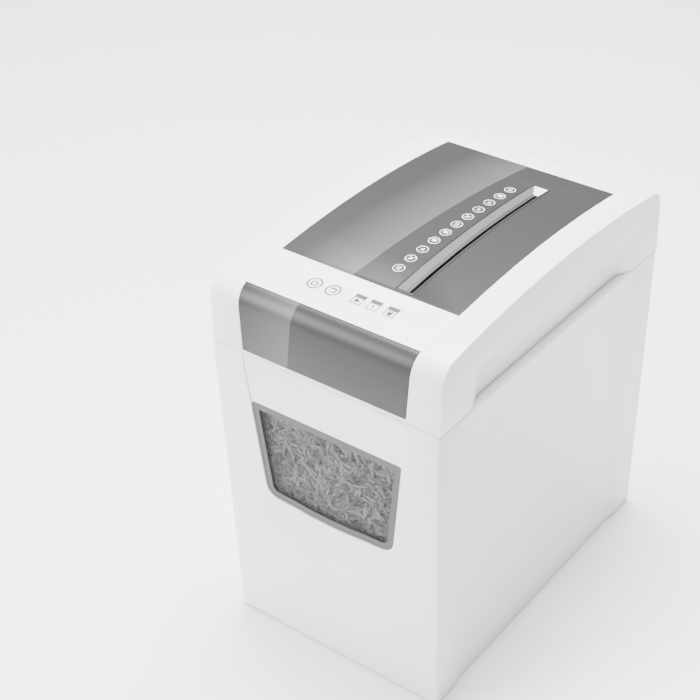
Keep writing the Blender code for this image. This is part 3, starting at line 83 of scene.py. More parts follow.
KEY_EDGE = 0.0004
KEY_RIM = 0.0007  # bare rim outside a key's printed ring
KEY_TOP_DEPTH = 0.0025  # points of a key this near its highest one belong to its top face
LAMP_EDGE = 0.0003

SHRED_THICKNESS = 0.00016
BIN_WALLS = (0.0150, 0.0080)  # shreds stay this far inside the bin's outer sides and ends
SKIRT_GAP = 0.0045  # shreds stay this far under the seated head's skirt
HEAP_GAP = 0.006  # and the heap's own surface this much further
HEAP_MARGIN = 0.012  # middles of shreds stay this far from the walls
HEAP_LOOSE = (-0.002, 0.0055)  # loose shreds lie between these heights over the heap
PANE_GAP = 0.0035  # from the pane's inner face to the nearest shred
WINDOW_SHARE = 0.34  # shreds behind the pane, as a share of those on the heap
WINDOW_SPREAD = (0.002, 0.010)  # how far behind that they lie
MASS_CELLS = (44, 64)
MASS_MARGINS = (0.004, 0.010)
MASS_SUNK = 0.004  # the mass lies this far under the loose shreds
MASS_FLOOR = 0.030

FLOOR_SIZE = 9
FLOOR_DROP = 0.0002
CAMERA_PLACE = (0.6861, -0.9893, 1.0855)
CAMERA_AZIMUTH, CAMERA_ELEVATION = math.radians(35.184), math.radians(34.554)
CAMERA_LENS, CAMERA_SENSOR, CAMERA_SHIFT = 77.6, 36, -0.1216
WORLD_STRENGTH = 0.6
LAMP_AIM = (0, 0, 0.2)
LAMPS = (  # name, place, size, watts
    ("key_light", (-1.7, -2.2, 1.7), 1.5, 150),
    ("top_light", (-0.3, 0.4, 2.8), 1.6, 340),
    ("edge_light", (2.4, 0.9, 1.1), 1.4, 1),
)


# ---------------------------------------------------------------- sizes and colours
class ShredderSizes(bpy.types.PropertyGroup):
    """Sizes of the details that dress the frame"""

    casing_edge: bpy.props.FloatProperty(
        name="Casing edge",
        description="Rounding of the casing's edges",
        default=0.0009,
        unit="LENGTH",
    )
    print_height: bpy.props.FloatProperty(
        name="Print height",
        description="How far printed marks stand proud",
        default=0.00012,
        unit="LENGTH",
    )
    mark_size: bpy.props.FloatProperty(
        name="Mark size",
        description="Diameter of a round mark beside the slot",
        default=0.0112,
        unit="LENGTH",
    )
    mark_count: bpy.props.IntProperty(
        name="Marks",
        description="Round marks beside the slot",
        default=11,
    )
    key_ring: bpy.props.FloatProperty(
        name="Key ring",
        description="Width of the printed ring on a touch key",
        default=0.0012,
        unit="LENGTH",
    )
    shred_length: bpy.props.FloatProperty(
        name="Shred length",
        description="Length of one paper particle",
        default=0.021,
        unit="LENGTH",
    )
    shred_width: bpy.props.FloatProperty(
        name="Shred width",
        description="Width of one paper particle",
        default=0.0029,
        unit="LENGTH",
    )
    shred_count: bpy.props.IntProperty(
        name="Shreds",
        description="Paper particles on the heap",
        default=5000,
    )
    heap_height: bpy.props.FloatProperty(
        name="Heap height",
        description="Height of the heap above the floor",
        default=0.252,
        unit="LENGTH",
    )


class ShredderColours(bpy.types.PropertyGroup):
    """Colours of the finishes"""

    casing: bpy.props.FloatVectorProperty(
        name="Casing",
        description="White casing plastic",
        default=(0.90, 0.905, 0.91),
        size=3,
        subtype="COLOR",
    )
    panel: bpy.props.FloatVectorProperty(
        name="Panel",
        description="Metallic grey panels",
        default=(0.038, 0.0395, 0.041),
        size=3,
        subtype="COLOR",
    )
    # Painted reflection: the lighter colour painted on the left of each metallic panel, brightest
    # at a slanting line.
    panel_reflection: bpy.props.FloatVectorProperty(
        name="Panel, light part",
        description="Lighter zone on the left of each panel",
        default=(0.105, 0.108, 0.112),
        size=3,
        subtype="COLOR",
    )
    border: bpy.props.FloatVectorProperty(
        name="Window border",
        description="Border round the window",
        default=(0.052, 0.054, 0.057),
        size=3,
        subtype="COLOR",
    )
    paper: bpy.props.FloatVectorProperty(
        name="Paper",
        description="Shredded paper",
        default=(0.58, 0.58, 0.575),
        size=3,
        subtype="COLOR",
    )


# ---------------------------------------------------------------- making pieces
def deselect():
    bpy.ops.object.select_all(action="DESELECT")


def only(thing):
    """Selects one object and makes it the active one."""
    deselect()
    thing.select_set(True)
    bpy.context.view_layer.objects.active = thing


def named(name):
    """Names the object that was just made, and its mesh."""
    thing = bpy.context.active_object
    thing.name = name
    thing.data.name = name
    return thing


def pick(thing, chosen, kind="faces"):
    """Enters edit mode with only the faces or edges selected that chosen accepts."""
    only(thing)
    bpy.ops.object.mode_set(mode="EDIT")
    bpy.ops.mesh.select_mode(type="FACE" if kind == "faces" else "EDGE")
    work = bmesh.from_edit_mesh(thing.data)
    for part in (work.verts, work.edges, work.faces):
        for item in part:
            item.select = False
    for item in getattr(work, kind):
        if chosen(item):
            item.select_set(True)
    bmesh.update_edit_mesh(thing.data)


def leave_edit():
    bpy.ops.object.mode_set(mode="OBJECT")


def finish_with(thing, kind, **settings):
    """Adds one modifier and applies it."""
    only(thing)
    modifier = thing.modifiers.new(kind.title(), kind)
    for key, value in settings.items():
        setattr(modifier, key, value)
    bpy.ops.object.modifier_apply(modifier=modifier.name)


def settle(thing, smooth=30):
    """Puts the object at the origin with its place in its mesh, and shades it."""
    only(thing)
    bpy.ops.object.transform_apply(location=True, rotation=True, scale=True)
    bpy.ops.object.shade_smooth_by_angle(angle=math.radians(smooth))
    return thing


def outward(thing):
    """Merges doubled points and turns every face outward."""
    only(thing)
    bpy.ops.object.mode_set(mode="EDIT")
    bpy.ops.mesh.select_all(action="SELECT")
    bpy.ops.mesh.remove_doubles(threshold=MERGE)
    bpy.ops.mesh.normals_make_consistent(inside=False)
    leave_edit()
    return thing


def dress(thing, finish, body, slot, *stands_for):
    """Gives a piece its finish and body, and hides the CAD nodes it replaces. The argument slot is
    not used.
    """
    thing.data.materials.clear()
    thing.data.materials.append(finish)
    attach(thing, body)
    if stands_for:
        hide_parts(*stands_for)
    return thing


def refined(node, name, edge, angle=38):
    """A finer copy of a CAD shell: merged, its flat faces joined, its edges rounded."""
    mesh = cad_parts[node].data.copy()
    thing = bpy.data.objects.new(name, mesh)
    mesh.name = name
    bpy.context.scene.collection.objects.link(thing)
    only(thing)
    bpy.ops.object.mode_set(mode="EDIT")
    bpy.ops.mesh.select_all(action="SELECT")
    bpy.ops.mesh.remove_doubles(threshold=CAD_MERGE)
    bpy.ops.mesh.dissolve_limited(angle_limit=math.radians(FLAT_ANGLE))
    leave_edit()
    if edge:
        finish_with(
            thing,
            "BEVEL",
            width=edge,
            segments=BEVEL_SEGMENTS,
            limit_method="ANGLE",
            angle_limit=math.radians(angle),
            use_clamp_overlap=True,
            harden_normals=False,
        )
    only(thing)
    bpy.ops.object.shade_smooth_by_angle(angle=math.radians(25))
    return thing


_trees = {}


def surface(node, x, y):
    """(point, normal) where a vertical line through (x, y) meets the top of a CAD node."""
    if node not in _trees:
        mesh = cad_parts[node].data
        mesh.calc_loop_triangles()
        points = [v.co.copy() for v in mesh.vertices]
        triangles = [tuple(t.vertices) for t in mesh.loop_triangles]
        _trees[node] = BVHTree.FromPolygons(points, triangles)
    point, normal, _, _ = _trees[node].ray_cast(Vector((x, y, 1.0)), Vector((0, 0, -1)))
    if point is None:
        raise RuntimeError(f"nothing of {node} lies under ({x:.3f}, {y:.3f})")
    return point, normal


def on_surface(node, x, y):
    """The place of a printed mark: its Z is the surface's normal, and it stands clear of it."""
    point, normal = surface(node, x, y)
    tilt = Vector((0, 0, 1)).rotation_difference(normal).to_matrix().to_4x4()
    return Matrix.Translation(point + normal * PRINT_LIFT) @ tilt


def copied(source, name, place):
    """A copy of a pattern at its place."""
    twin = source.copy()
    twin.data = source.data.copy()
    twin.name = twin.data.name = name
    bpy.context.scene.collection.objects.link(twin)
    twin.matrix_world = place
    return settle(twin)


def joined(name, things):
    """One object made of several."""
    deselect()
    for thing in things:
        thing.select_set(True)
    bpy.context.view_layer.objects.active = things[0]
    if len(things) > 1:
        bpy.ops.object.join()
    return named(name)


# ---------------------------------------------------------------- finishes
def node_tree(name):
    """A new material with a bare shader, and the object's own coordinates."""
    finish = bpy.data.materials.new(name)
    finish.use_nodes = True
    nodes = finish.node_tree.nodes
    nodes.clear()
    out = nodes.new("ShaderNodeOutputMaterial")
    shader = nodes.new("ShaderNodeBsdfPrincipled")
    finish.node_tree.links.new(shader.outputs["BSDF"], out.inputs["Surface"])
    place = nodes.new("ShaderNodeTexCoord")
    return finish, nodes, finish.node_tree.links, shader, place.outputs["Object"]


def noise(nodes, links, place, scale, detail):
    texture = nodes.new("ShaderNodeTexNoise")
    texture.inputs["Scale"].default_value = scale
    texture.inputs["Detail"].default_value = detail
    links.new(place, texture.inputs["Vector"])
    return texture.outputs["Fac"]


def graded(nodes, links, value, stops):
    """A colour from a ramp with these stops."""
    ramp = nodes.new("ShaderNodeValToRGB")
    links.new(value, ramp.inputs["Fac"])
    while len(ramp.color_ramp.elements) < len(stops):
        ramp.color_ramp.elements.new(0.5)
    for element, (position, colour) in zip(ramp.color_ramp.elements, stops):
        element.position = position
        element.color = (*colour, 1)
    return ramp.outputs["Color"]


def between(nodes, links, value, low, high):
    """A number from low to high as value goes from 0 to 1."""
    scaled = nodes.new("ShaderNodeMapRange")
    scaled.inputs["To Min"].default_value = low
    scaled.inputs["To Max"].default_value = high
    links.new(value, scaled.inputs["Value"])
    return scaled.outputs["Result"]


def grain(nodes, links, shader, height, strength, distance):
    """Roughens the surface finely."""
    bump = nodes.new("ShaderNodeBump")
    bump.inputs["Strength"].default_value = strength
    bump.inputs["Distance"].default_value = distance
    links.new(height, bump.inputs["Height"])
    links.new(bump.outputs["Normal"], shader.inputs["Normal"])


def shade(colour, by):
    """A colour made lighter or darker."""
    return tuple(min(1.0, c * by) for c in colour)


def plastic(name, colour, roughness, speckle=0.02, scale=2600, bump=0.05):
    """Moulded plastic: a fine spark-eroded grain and a faint cloud in its colour."""
    finish, nodes, links, shader, place = node_tree(name)
    cloud = noise(nodes, links, place, 14, 2)
    fine = noise(nodes, links, place, scale, 2)
    stops = [(0.3, shade(colour, 1 - speckle)), (0.7, shade(colour, 1 + speckle))]
    tone = graded(nodes, links, cloud, stops)
    links.new(tone, shader.inputs["Base Color"])
    sheen = between(nodes, links, fine, roughness - 0.04, roughness + 0.06)
    links.new(sheen, shader.inputs["Roughness"])
    grain(nodes, links, shader, fine, bump, 0.00008)
    return finish


def metallic_panel(name, colour, light, reflection_edge_bottom, reflection_edge_top, low, high, axis):
    """Grey metallic lacquer in two zones that meet on a slanting line: the left zone is a painted
    reflection, brightest at the line.
    """
    finish, nodes, links, shader, place = node_tree(name)
    split = nodes.new("ShaderNodeSeparateXYZ")
    links.new(place, split.inputs["Vector"])
    along = nodes.new("ShaderNodeMapRange")
    along.inputs["From Min"].default_value = low
    along.inputs["From Max"].default_value = high
    along.inputs["To Min"].default_value = reflection_edge_bottom
    along.inputs["To Max"].default_value = reflection_edge_top
    along.clamp = False
    links.new(split.outputs[axis], along.inputs["Value"])
    past = nodes.new("ShaderNodeMath")
    past.operation = "SUBTRACT"
    links.new(split.outputs["X"], past.inputs[0])
    links.new(along.outputs["Result"], past.inputs[1])
    # Right of the slanting line the panel keeps its own colour. Left of it the painted reflection
    # is brightest at the line and fades to the panel's colour 60 mm further left.
    edge = nodes.new("ShaderNodeMapRange")
    edge.inputs["From Min"].default_value = -0.0004
    edge.inputs["From Max"].default_value = 0.0004
    links.new(past.outputs["Value"], edge.inputs["Value"])
    fade = nodes.new("ShaderNodeMapRange")
    fade.inputs["From Min"].default_value = -0.060
    fade.inputs["From Max"].default_value = 0.0
    links.new(past.outputs["Value"], fade.inputs["Value"])
    zone = graded(nodes, links, fade.outputs["Result"], [(0.0, colour), (1.0, light)])
    mix = nodes.new("ShaderNodeMix")
    mix.data_type = "RGBA"
    links.new(edge.outputs["Result"], mix.inputs["Factor"])
    links.new(zone, mix.inputs["A"])
    mix.inputs["B"].default_value = (*colour, 1)
    flake = noise(nodes, links, place, 5200, 1)
    sparkle = nodes.new("ShaderNodeMix")
    sparkle.data_type = "RGBA"
    sparkle.blend_type = "MULTIPLY"
    sparkle.inputs["Factor"].default_value = 1.0
    links.new(mix.outputs["Result"], sparkle.inputs["A"])
    tone = graded(nodes, links, flake, [(0.35, (0.90, 0.90, 0.90)), (0.65, (1.0, 1.0, 1.0))])
    links.new(tone, sparkle.inputs["B"])
    links.new(sparkle.outputs["Result"], shader.inputs["Base Color"])
    shader.inputs["Metallic"].default_value = 0.2
    shader.inputs["Specular IOR Level"].default_value = 0.3
    links.new(between(nodes, links, flake, 0.34, 0.46), shader.inputs["Roughness"])
    grain(nodes, links, shader, flake, 0.04, 0.00005)
    return finish


def plain(name, colour, roughness, metallic=0.0, scale=900, spread=0.05, bump=0.08):
    """A finish with a fine mottle: rubber, nylon, print and bare metal."""
    finish, nodes, links, shader, place = node_tree(name)
    fine = noise(nodes, links, place, scale, 4)
    stops = [(0.3, shade(colour, 1 - spread)), (0.7, shade(colour, 1 + spread))]
    tone = graded(nodes, links, fine, stops)
    links.new(tone, shader.inputs["Base Color"])
    shader.inputs["Metallic"].default_value = metallic
    sheen = between(nodes, links, fine, roughness - 0.05, roughness + 0.08)
    links.new(sheen, shader.inputs["Roughness"])
    grain(nodes, links, shader, fine, bump, 0.0001)
    return finish


def tinted_pane(name):
    """Smoked clear plastic."""
    finish, nodes, links, shader, place = node_tree(name)
    fine = noise(nodes, links, place, 60, 2)
    stops = [(0.3, (0.014, 0.0145, 0.015)), (0.7, (0.018, 0.0185, 0.019))]
    tone = graded(nodes, links, fine, stops)
    links.new(tone, shader.inputs["Base Color"])
    links.new(between(nodes, links, fine, 0.06, 0.12), shader.inputs["Roughness"])
    shader.inputs["Alpha"].default_value = 0.28
    shader.inputs["Specular IOR Level"].default_value = 0.5
    return finish


def shredded_paper(name, colour):
    """Paper whose tone is kept, strip by strip, in the attribute tone. Its darkest tones are
    painted shade, taken only by the mass under the loose strips.
    """
    finish, nodes, links, shader, place = node_tree(name)
    tone = nodes.new("ShaderNodeAttribute")
    tone.attribute_name = "tone"
    # The stops at 0 and 0.25 are painted shade: only the mass under the loose strips takes tones
    # this low.
    stops = [
        (0.0, shade(colour, 0.10)),
        (0.25, shade(colour, 0.34)),
        (0.55, shade(colour, 0.72)),
        (1.0, colour),
    ]
    base = graded(nodes, links, tone.outputs["Fac"], stops)
    ink = noise(nodes, links, place, 420, 2)
    lines = graded(nodes, links, ink, [(0.44, (0.62, 0.62, 0.63)), (0.56, (1.0, 1.0, 1.0))])
    mix = nodes.new("ShaderNodeMix")
    mix.data_type = "RGBA"
    mix.blend_type = "MULTIPLY"
    mix.inputs["Factor"].default_value = 0.8
    links.new(base, mix.inputs["A"])
    links.new(lines, mix.inputs["B"])
    links.new(mix.outputs["Result"], shader.inputs["Base Color"])
    shader.inputs["Roughness"].default_value = 0.8
    shader.inputs["Specular IOR Level"].default_value = 0.2
    return finish


FINISHES = {}


def finish_named(name):
    """Each finish is made once, from the colours of the scene."""
    if name in FINISHES:
        return FINISHES[name]
    colours = bpy.context.scene.shredder_colours
    casing = tuple(colours.casing)
    # light is the colour of the painted reflection on both metallic panels; the numbers after it
    # place its slanting line.
    panel, light = tuple(colours.panel), tuple(colours.panel_reflection)
    top_low, top_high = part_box("top_panel")
    plate_low, plate_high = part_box("front_plate")
    makers = {
        "casing_white": lambda: plastic("casing_white", casing, 0.34),
        "strip_white": lambda: plastic("strip_white", shade(casing, 1.02), 0.28, 0.01, 3200, 0.03),
        "key_white": lambda: plastic("key_white", shade(casing, 1.03), 0.25, 0.01, 3600, 0.02),
        "panel_top": lambda: metallic_panel(
            "panel_top", panel, light, -0.0165, -0.0005, top_low.y, top_high.y, "Y"
        ),
        "panel_front": lambda: metallic_panel(
            "panel_front", panel, light, -0.0385, -0.033, plate_low.z, plate_high.z, "Z"
        ),
        "window_grey": lambda: plastic(
            "window_grey", tuple(colours.border), 0.42, 0.04, 1800, 0.10
        ),
        "window_tint": lambda: tinted_pane("window_tint"),
        "lip_grey": lambda: plastic("lip_grey", (0.44, 0.45, 0.46), 0.55, 0.05, 1500, 0.25),
        "lip_speckled": lambda: plain(
            "lip_speckled", (0.12, 0.123, 0.126), 0.60, 0.15, 1500, 0.22, 0.35
        ),
        "print_white": lambda: plain("print_white", (0.85, 0.86, 0.87), 0.45, spread=0.02),
        "print_grey": lambda: plain("print_grey", (0.012, 0.013, 0.014), 0.45, spread=0.04),
        "lamp_grey": lambda: plain("lamp_grey", (0.075, 0.077, 0.08), 0.30, spread=0.04),
        "rubber_black": lambda: plain(
            "rubber_black", (0.022, 0.022, 0.022), 0.85, scale=700, spread=0.25, bump=0.3
        ),
        "steel_turned": lambda: plain(
            "steel_turned", (0.52, 0.53, 0.54), 0.30, 1.0, 1400, 0.06, 0.12
        ),
        "black_moulded": lambda: plain(
            "black_moulded", (0.035, 0.035, 0.038), 0.5, scale=1600, spread=0.15
        ),
        "nylon_natural": lambda: plain(
            "nylon_natural", (0.72, 0.69, 0.60), 0.48, scale=500, spread=0.05
        ),
        "copper_wound": lambda: plain(
            "copper_wound", (0.62, 0.27, 0.12), 0.35, 0.9, 1200, 0.2, 0.5
        ),
        "board_green": lambda: plain(
            "board_green", (0.03, 0.16, 0.06), 0.42, scale=600, spread=0.2
        ),
        "bronze_sintered": lambda: plain(
            "bronze_sintered", (0.60, 0.42, 0.18), 0.42, 1.0, 2200, 0.15, 0.3
        ),
        "paper_mixed": lambda: shredded_paper("paper_mixed", tuple(colours.paper)),
    }
    FINISHES[name] = makers[name]()
    return FINISHES[name]


# ---------------------------------------------------------------- casing
class SHREDDER_OT_bin(bpy.types.Operator):
    """Dress the waste bin: its moulded shell, window border, pane and feet"""

    bl_idname = "shredder.bin"
    bl_label = "Waste bin"

    def execute(self, context):
        sizes = context.scene.shredder_sizes
        shell = refined("bin_shell", "bin_casing", sizes.casing_edge)
        dress(shell, finish_named("casing_white"), "bin", "white_plastic", "bin_shell")
        border = refined("window_frame", "window_surround", sizes.casing_edge * 0.6)
        dress(border, finish_named("window_grey"), "bin", "window_border", "window_frame")
        repaint("window_pane", "window_tint")
        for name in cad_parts:
            if name.startswith("foot_"):
                repaint(name, "rubber_black")
        return {"FINISHED"}


def repaint(node, finish):
    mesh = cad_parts[node].data
    mesh.materials.clear()
    mesh.materials.append(finish_named(finish))


class SHREDDER_OT_head(bpy.types.Operator):
    """Dress the head's cover, its skirt and the white strip under the keys"""

    bl_idname = "shredder.head"
    bl_label = "Head casing"

    def execute(self, context):
        edge = context.scene.shredder_sizes.casing_edge
        cover = refined("head_cover", "head_casing", edge * 0.8, 40)
        dress(cover, finish_named("casing_white"), "head", "white_plastic", "head_cover")
        skirt = refined("head_skirt", "skirt_casing", edge, 40)
        dress(skirt, finish_named("casing_white"), "head", "white_plastic", "head_skirt")
        strip = refined("control_strip", "key_strip", edge * 0.3, 50)
        dress(strip, finish_named("strip_white"), "head", "white_plastic", "control_strip")
        repaint("cord_gland", "rubber_black")
        return {"FINISHED"}


class SHREDDER_OT_panels(bpy.types.Operator):
    """Dress the metallic top panel and front plate"""

    bl_idname = "shredder.panels"
    bl_label = "Metallic panels"

    def execute(self, context):
        edge = context.scene.shredder_sizes.casing_edge
        top = refined("top_panel", "panel_over_works", edge * 0.45, 50)
        dress(top, finish_named("panel_top"), "head", "grey_panel", "top_panel")
        front = refined("front_plate", "panel_on_front", edge * 0.45, 50)
        dress(front, finish_named("panel_front"), "head", "grey_panel", "front_plate")
        return {"FINISHED"}


class SHREDDER_OT_slot(bpy.types.Operator):
    """Dress the paper slot: its lip slopes down to the black slit and ends in a pale ramp. Off its
    rim the lip is painted black, as painted shadow inside the slot
    """

    bl_idname = "shredder.slot"
    bl_label = "Paper slot"

    def execute(self, context):
        edge = context.scene.shredder_sizes.casing_edge
        lip = refined("slot_lip", "slot_throat", edge * 0.35, 40)
        dress(lip, finish_named("black_moulded"), "head", "lip_grey", "slot_lip")
        lip.data.materials.append(finish_named("panel_top"))
        low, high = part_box("slot_lip")
        slit = (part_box("paper_guide_left")[1].x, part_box("paper_guide_right")[0].x)
        # Every face of the lip off its rim is painted black. This is painted shadow inside the
        # slot, seen as the band between the slope and the slit.
        for face in lip.data.polygons:
            spot = face.center
            top, _ = surface("top_panel", low.x - PANEL_PROBE, min(max(spot.y, low.y), high.y))
            on_rim = face.normal.z > 0.5 and spot.z > top.z - LIP_TOP_DEPTH
            face.material_index = 1 if on_rim else 0
        slope = self.ramp("slot_slope", low, high, slit[0] - SLOPE_SHADOW_BAND, False)
        dress(slope, finish_named("lip_speckled"), "head", "lip_grey")
        end = self.ramp("slot_end_ramp", low, high, slit[1], True)
        dress(end, finish_named("strip_white"), "head", "white_plastic")
        for node in ("paper_guide_left", "paper_guide_right", "sensor_flap"):
            repaint(node, "black_moulded")
        return {"FINISHED"}

    def ramp(self, name, low, high, reach, at_end):
        """A wedge between the lip's rim and the slit, along the slot or across its back end."""
        deselect()
        bpy.ops.mesh.primitive_cube_add(size=1, location=(0, 0, 0))
        wedge = named(name)
        pick(wedge, lambda edge: abs(edge.verts[0].co.y - edge.verts[1].co.y) > 0.5, "edges")
        bpy.ops.mesh.subdivide(number_cuts=5 if at_end else 31)
        leave_edit()
        left = low.x + LIP_RIM
        near = high.y - END_RAMP_START if at_end else low.y + LIP_END
        far = high.y - LIP_END
        for vert in wedge.data.vertices:
            x = left + (reach - SLOPE_SEAM - left) * (vert.co.x + 0.5)
            y = near + (far - near) * (vert.co.y + 0.5)
            crown, _ = surface("top_panel", low.x - PANEL_PROBE, y)
            share = (far - y) / (far - near) if at_end else (x - left) / (reach - left)
            fall = SLOPE_FALL * share + (END_RAMP_SUNK if at_end else 0.0)
            vert.co = (x, y, crown.z - (fall if vert.co.z > 0 else SLOPE_FOOT))
        return settle(outward(wedge))


# ---------------------------------------------------------------- printed marks
def flat_ring(outer, inner, height, sides=40):
    """A flat printed ring about the origin, made from a disc with its middle taken out."""
    deselect()
    bpy.ops.mesh.primitive_circle_add(
        vertices=sides, radius=outer, fill_type="NGON", location=(0, 0, 0)
    )
    ring = named("print_ring")
    pick(ring, lambda face: True)
    bpy.ops.mesh.inset(thickness=outer - inner, depth=0)
    leave_edit()
    pick(ring, lambda face: face.calc_center_median().length < inner * 0.2 and len(face.verts) > 4)
    bpy.ops.mesh.delete(type="FACE")
    leave_edit()
    finish_with(ring, "SOLIDIFY", thickness=height, offset=1.0)
    return outward(ring)


def flat_bar(length, width, height, place=(0, 0), turn=0.0, round_off=0.35):
    """A flat printed bar with rounded corners."""
    deselect()
    bpy.ops.mesh.primitive_plane_add(size=1, location=(*place, 0), rotation=(0, 0, turn))
    bar = named("print_bar")
    bar.scale = (length, width, 1)
    only(bar)
    bpy.ops.object.transform_apply(location=True, rotation=True, scale=True)
    if round_off:
        pick(bar, lambda face: True)
        bpy.ops.mesh.bevel(offset=min(length, width) * round_off, segments=3, affect="VERTICES")
        leave_edit()
    finish_with(bar, "SOLIDIFY", thickness=height, offset=1.0)
    return outward(bar)


def flat_shape(corners, height):
    """A flat printed shape, from a disc whose corners are set one by one."""
    deselect()
    bpy.ops.mesh.primitive_circle_add(
        vertices=len(corners), radius=0.001, fill_type="NGON", location=(0, 0, 0)
    )
    shape = named("print_shape")
    for vert, corner in zip(shape.data.vertices, corners):
        vert.co = (*corner, 0)
    finish_with(shape, "SOLIDIFY", thickness=height, offset=1.0)
    return outward(shape)


def sheet_mark(size, height):
    """A sheet with ruled lines."""
    return [
        flat_bar(size * 0.30, size * 0.05, height, (0, size * 0.20)),
        flat_bar(size * 0.30, size * 0.05, height, (0, -size * 0.20)),
        flat_bar(size * 0.05, size * 0.42, height, (-size * 0.15, 0)),
        flat_bar(size * 0.05, size * 0.42, height, (size * 0.15, 0)),
        flat_bar(size * 0.18, size * 0.05, height, (0, size * 0.06)),
        flat_bar(size * 0.18, size * 0.05, height, (0, -size * 0.06)),
    ]


def crossed_mark(size, height):
    """A thing that may not be fed, under a slanting bar."""
    return [
        flat_bar(size * 0.78, size * 0.06, height, (0, 0), math.radians(45)),
        flat_bar(size * 0.36, size * 0.10, height, (0, size * 0.12)),
        flat_bar(size * 0.10, size * 0.30, height, (-size * 0.10, -size * 0.06)),
        flat_bar(size * 0.10, size * 0.22, height, (size * 0.12, -size * 0.05)),
    ]


def clip_mark(size, height):
    """A bent wire."""
    return [
        flat_ring(size * 0.16, size * 0.11, height, 20),
        flat_bar(size * 0.05, size * 0.34, height, (size * 0.135, -size * 0.12)),
        flat_bar(size * 0.05, size * 0.26, height, (-size * 0.135, -size * 0.10)),
        flat_bar(size * 0.50, size * 0.06, height, (0, 0), math.radians(45)),
    ]


def card_mark(size, height):
    """A card with a stripe."""
    return [
        flat_bar(size * 0.46, size * 0.30, height),
        flat_bar(size * 0.60, size * 0.05, height, (0, size * 0.22)),
    ]


class SHREDDER_OT_marks(bpy.types.Operator):
    """Print the row of round marks beside the slot"""

    bl_idname = "shredder.marks"
    bl_label = "Round marks"

    def execute(self, context):
        sizes = context.scene.shredder_sizes
        size, height = sizes.mark_size, sizes.print_height
        makers = [sheet_mark, card_mark, clip_mark, crossed_mark]
        low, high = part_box("slot_lip")
        first, last = low.y + MARKS_INSET, high.y - MARKS_INSET
        patterns = []
        for i, maker in enumerate(makers):
            ring = flat_ring(size / 2, size / 2 - size * MARK_RING_SHARE, height, 36)
            patterns.append(joined(f"mark_pattern_{i}", [ring] + maker(size, height)))
        for i in range(sizes.mark_count):
            share = i / (sizes.mark_count - 1)
            x = low.x - MARKS_GAP + MARKS_DRIFT * share
            y = first + (last - first) * share
            pattern = patterns[(i * 3 + i // 4) % len(patterns)]
            mark = copied(pattern, f"round_mark_{i + 1}", on_surface("top_panel", x, y))
            dress(mark, finish_named("print_white"), "head", "white_plastic")
        for pattern in patterns:
            bpy.data.objects.remove(pattern)
        return {"FINISHED"}


# ---------------------------------------------------------------- keys and lamps
def broken_ring(size, height, gone):
    """A printed ring without the faces whose middle gone accepts, its cut ends closed."""
    ring = flat_ring(size * 0.54, size * 0.34, height, 32)
    pick(ring, lambda face: gone(face.calc_center_median()))
    bpy.ops.mesh.delete(type="FACE")
    leave_edit()
    pick(ring, lambda edge: edge.is_boundary, "edges")
    bpy.ops.mesh.edge_face_add()
    leave_edit()
    return outward(ring)


def power_glyph(size, height):
    """A broken ring with a bar through its gap."""
    ring = broken_ring(size, height, lambda spot: spot.y > size * 0.30)
    return [ring, flat_bar(size * 0.18, size * 0.55, height, (0, size * 0.36))]


def reverse_glyph(size, height):
    """An arrow that turns back on itself."""
    ring = broken_ring(size, height, lambda spot: spot.x < -size * 0.05 and spot.y < size * 0.28)
    head = [(-size * 0.62, size * 0.30), (-size * 0.16, size * 0.66), (-size * 0.12, size * 0.12)]
    return [ring, flat_shape(head, height)]


class SHREDDER_OT_keys(bpy.types.Operator):
    """Print the two round touch keys"""

    bl_idname = "shredder.keys"
    bl_label = "Touch keys"

    def execute(self, context):
        sizes = context.scene.shredder_sizes
        height = sizes.print_height
        for node, body, glyph in (
            ("power_button", "power_key", power_glyph),
            ("reverse_button", "reverse_key", reverse_glyph),
        ):
            low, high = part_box(node)
            x, radius = ((low + high) / 2).x, (high.x - low.x) / 2
            cap = refined(node, node.replace("button", "cap"), KEY_EDGE, 50)
            dress(cap, finish_named("key_white"), body, "white_plastic", node)
            outer = radius - KEY_RIM
            ring = flat_ring(outer, outer - sizes.key_ring, height)
            mark = joined(node.replace("button", "print"), [ring] + glyph(radius * 0.85, height))
            mark.matrix_world = on_surface(node, x, key_middle(node))
            settle(mark)
            dress(mark, finish_named("print_grey"), body, "window_border")
        return {"FINISHED"}


def key_middle(node):
    """The Y at the middle of a key's top face."""
    points = [v.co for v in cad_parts[node].data.vertices]
    top = max(p.z for p in points)
    rim = [p for p in points if p.z > top - KEY_TOP_DEPTH]
    return (min(p.y for p in rim) + max(p.y for p in rim)) / 2


class SHREDDER_OT_lamps(bpy.types.Operator):
    """Print the three status squares and dress their lamps"""

    bl_idname = "shredder.lamps"
    bl_label = "Status lamps"

    def execute(self, context):
        height = context.scene.shredder_sizes.print_height
        glyphs = (play_glyph, alert_glyph, bin_glyph)
        for i, glyph in enumerate(glyphs):
            node = f"status_lens_{i + 1}"
            lens = refined(node, f"status_lamp_{i + 1}", LAMP_EDGE, 50)
            dress(lens, finish_named("lamp_grey"), "head", "lip_grey", node)
            low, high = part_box(node)
            x, y = (low.x + high.x) / 2, (low.y + high.y) / 2
            width = high.x - low.x
            square = frame_print(width, width * 0.82, height) + glyph(width * 0.50, height)
            mark = joined(f"status_print_{i + 1}", square)
            mark.matrix_world = on_surface("control_strip", x, y - width * 0.62)
            settle(mark)
            dress(mark, finish_named("print_grey"), "head", "window_border")
        return {"FINISHED"}


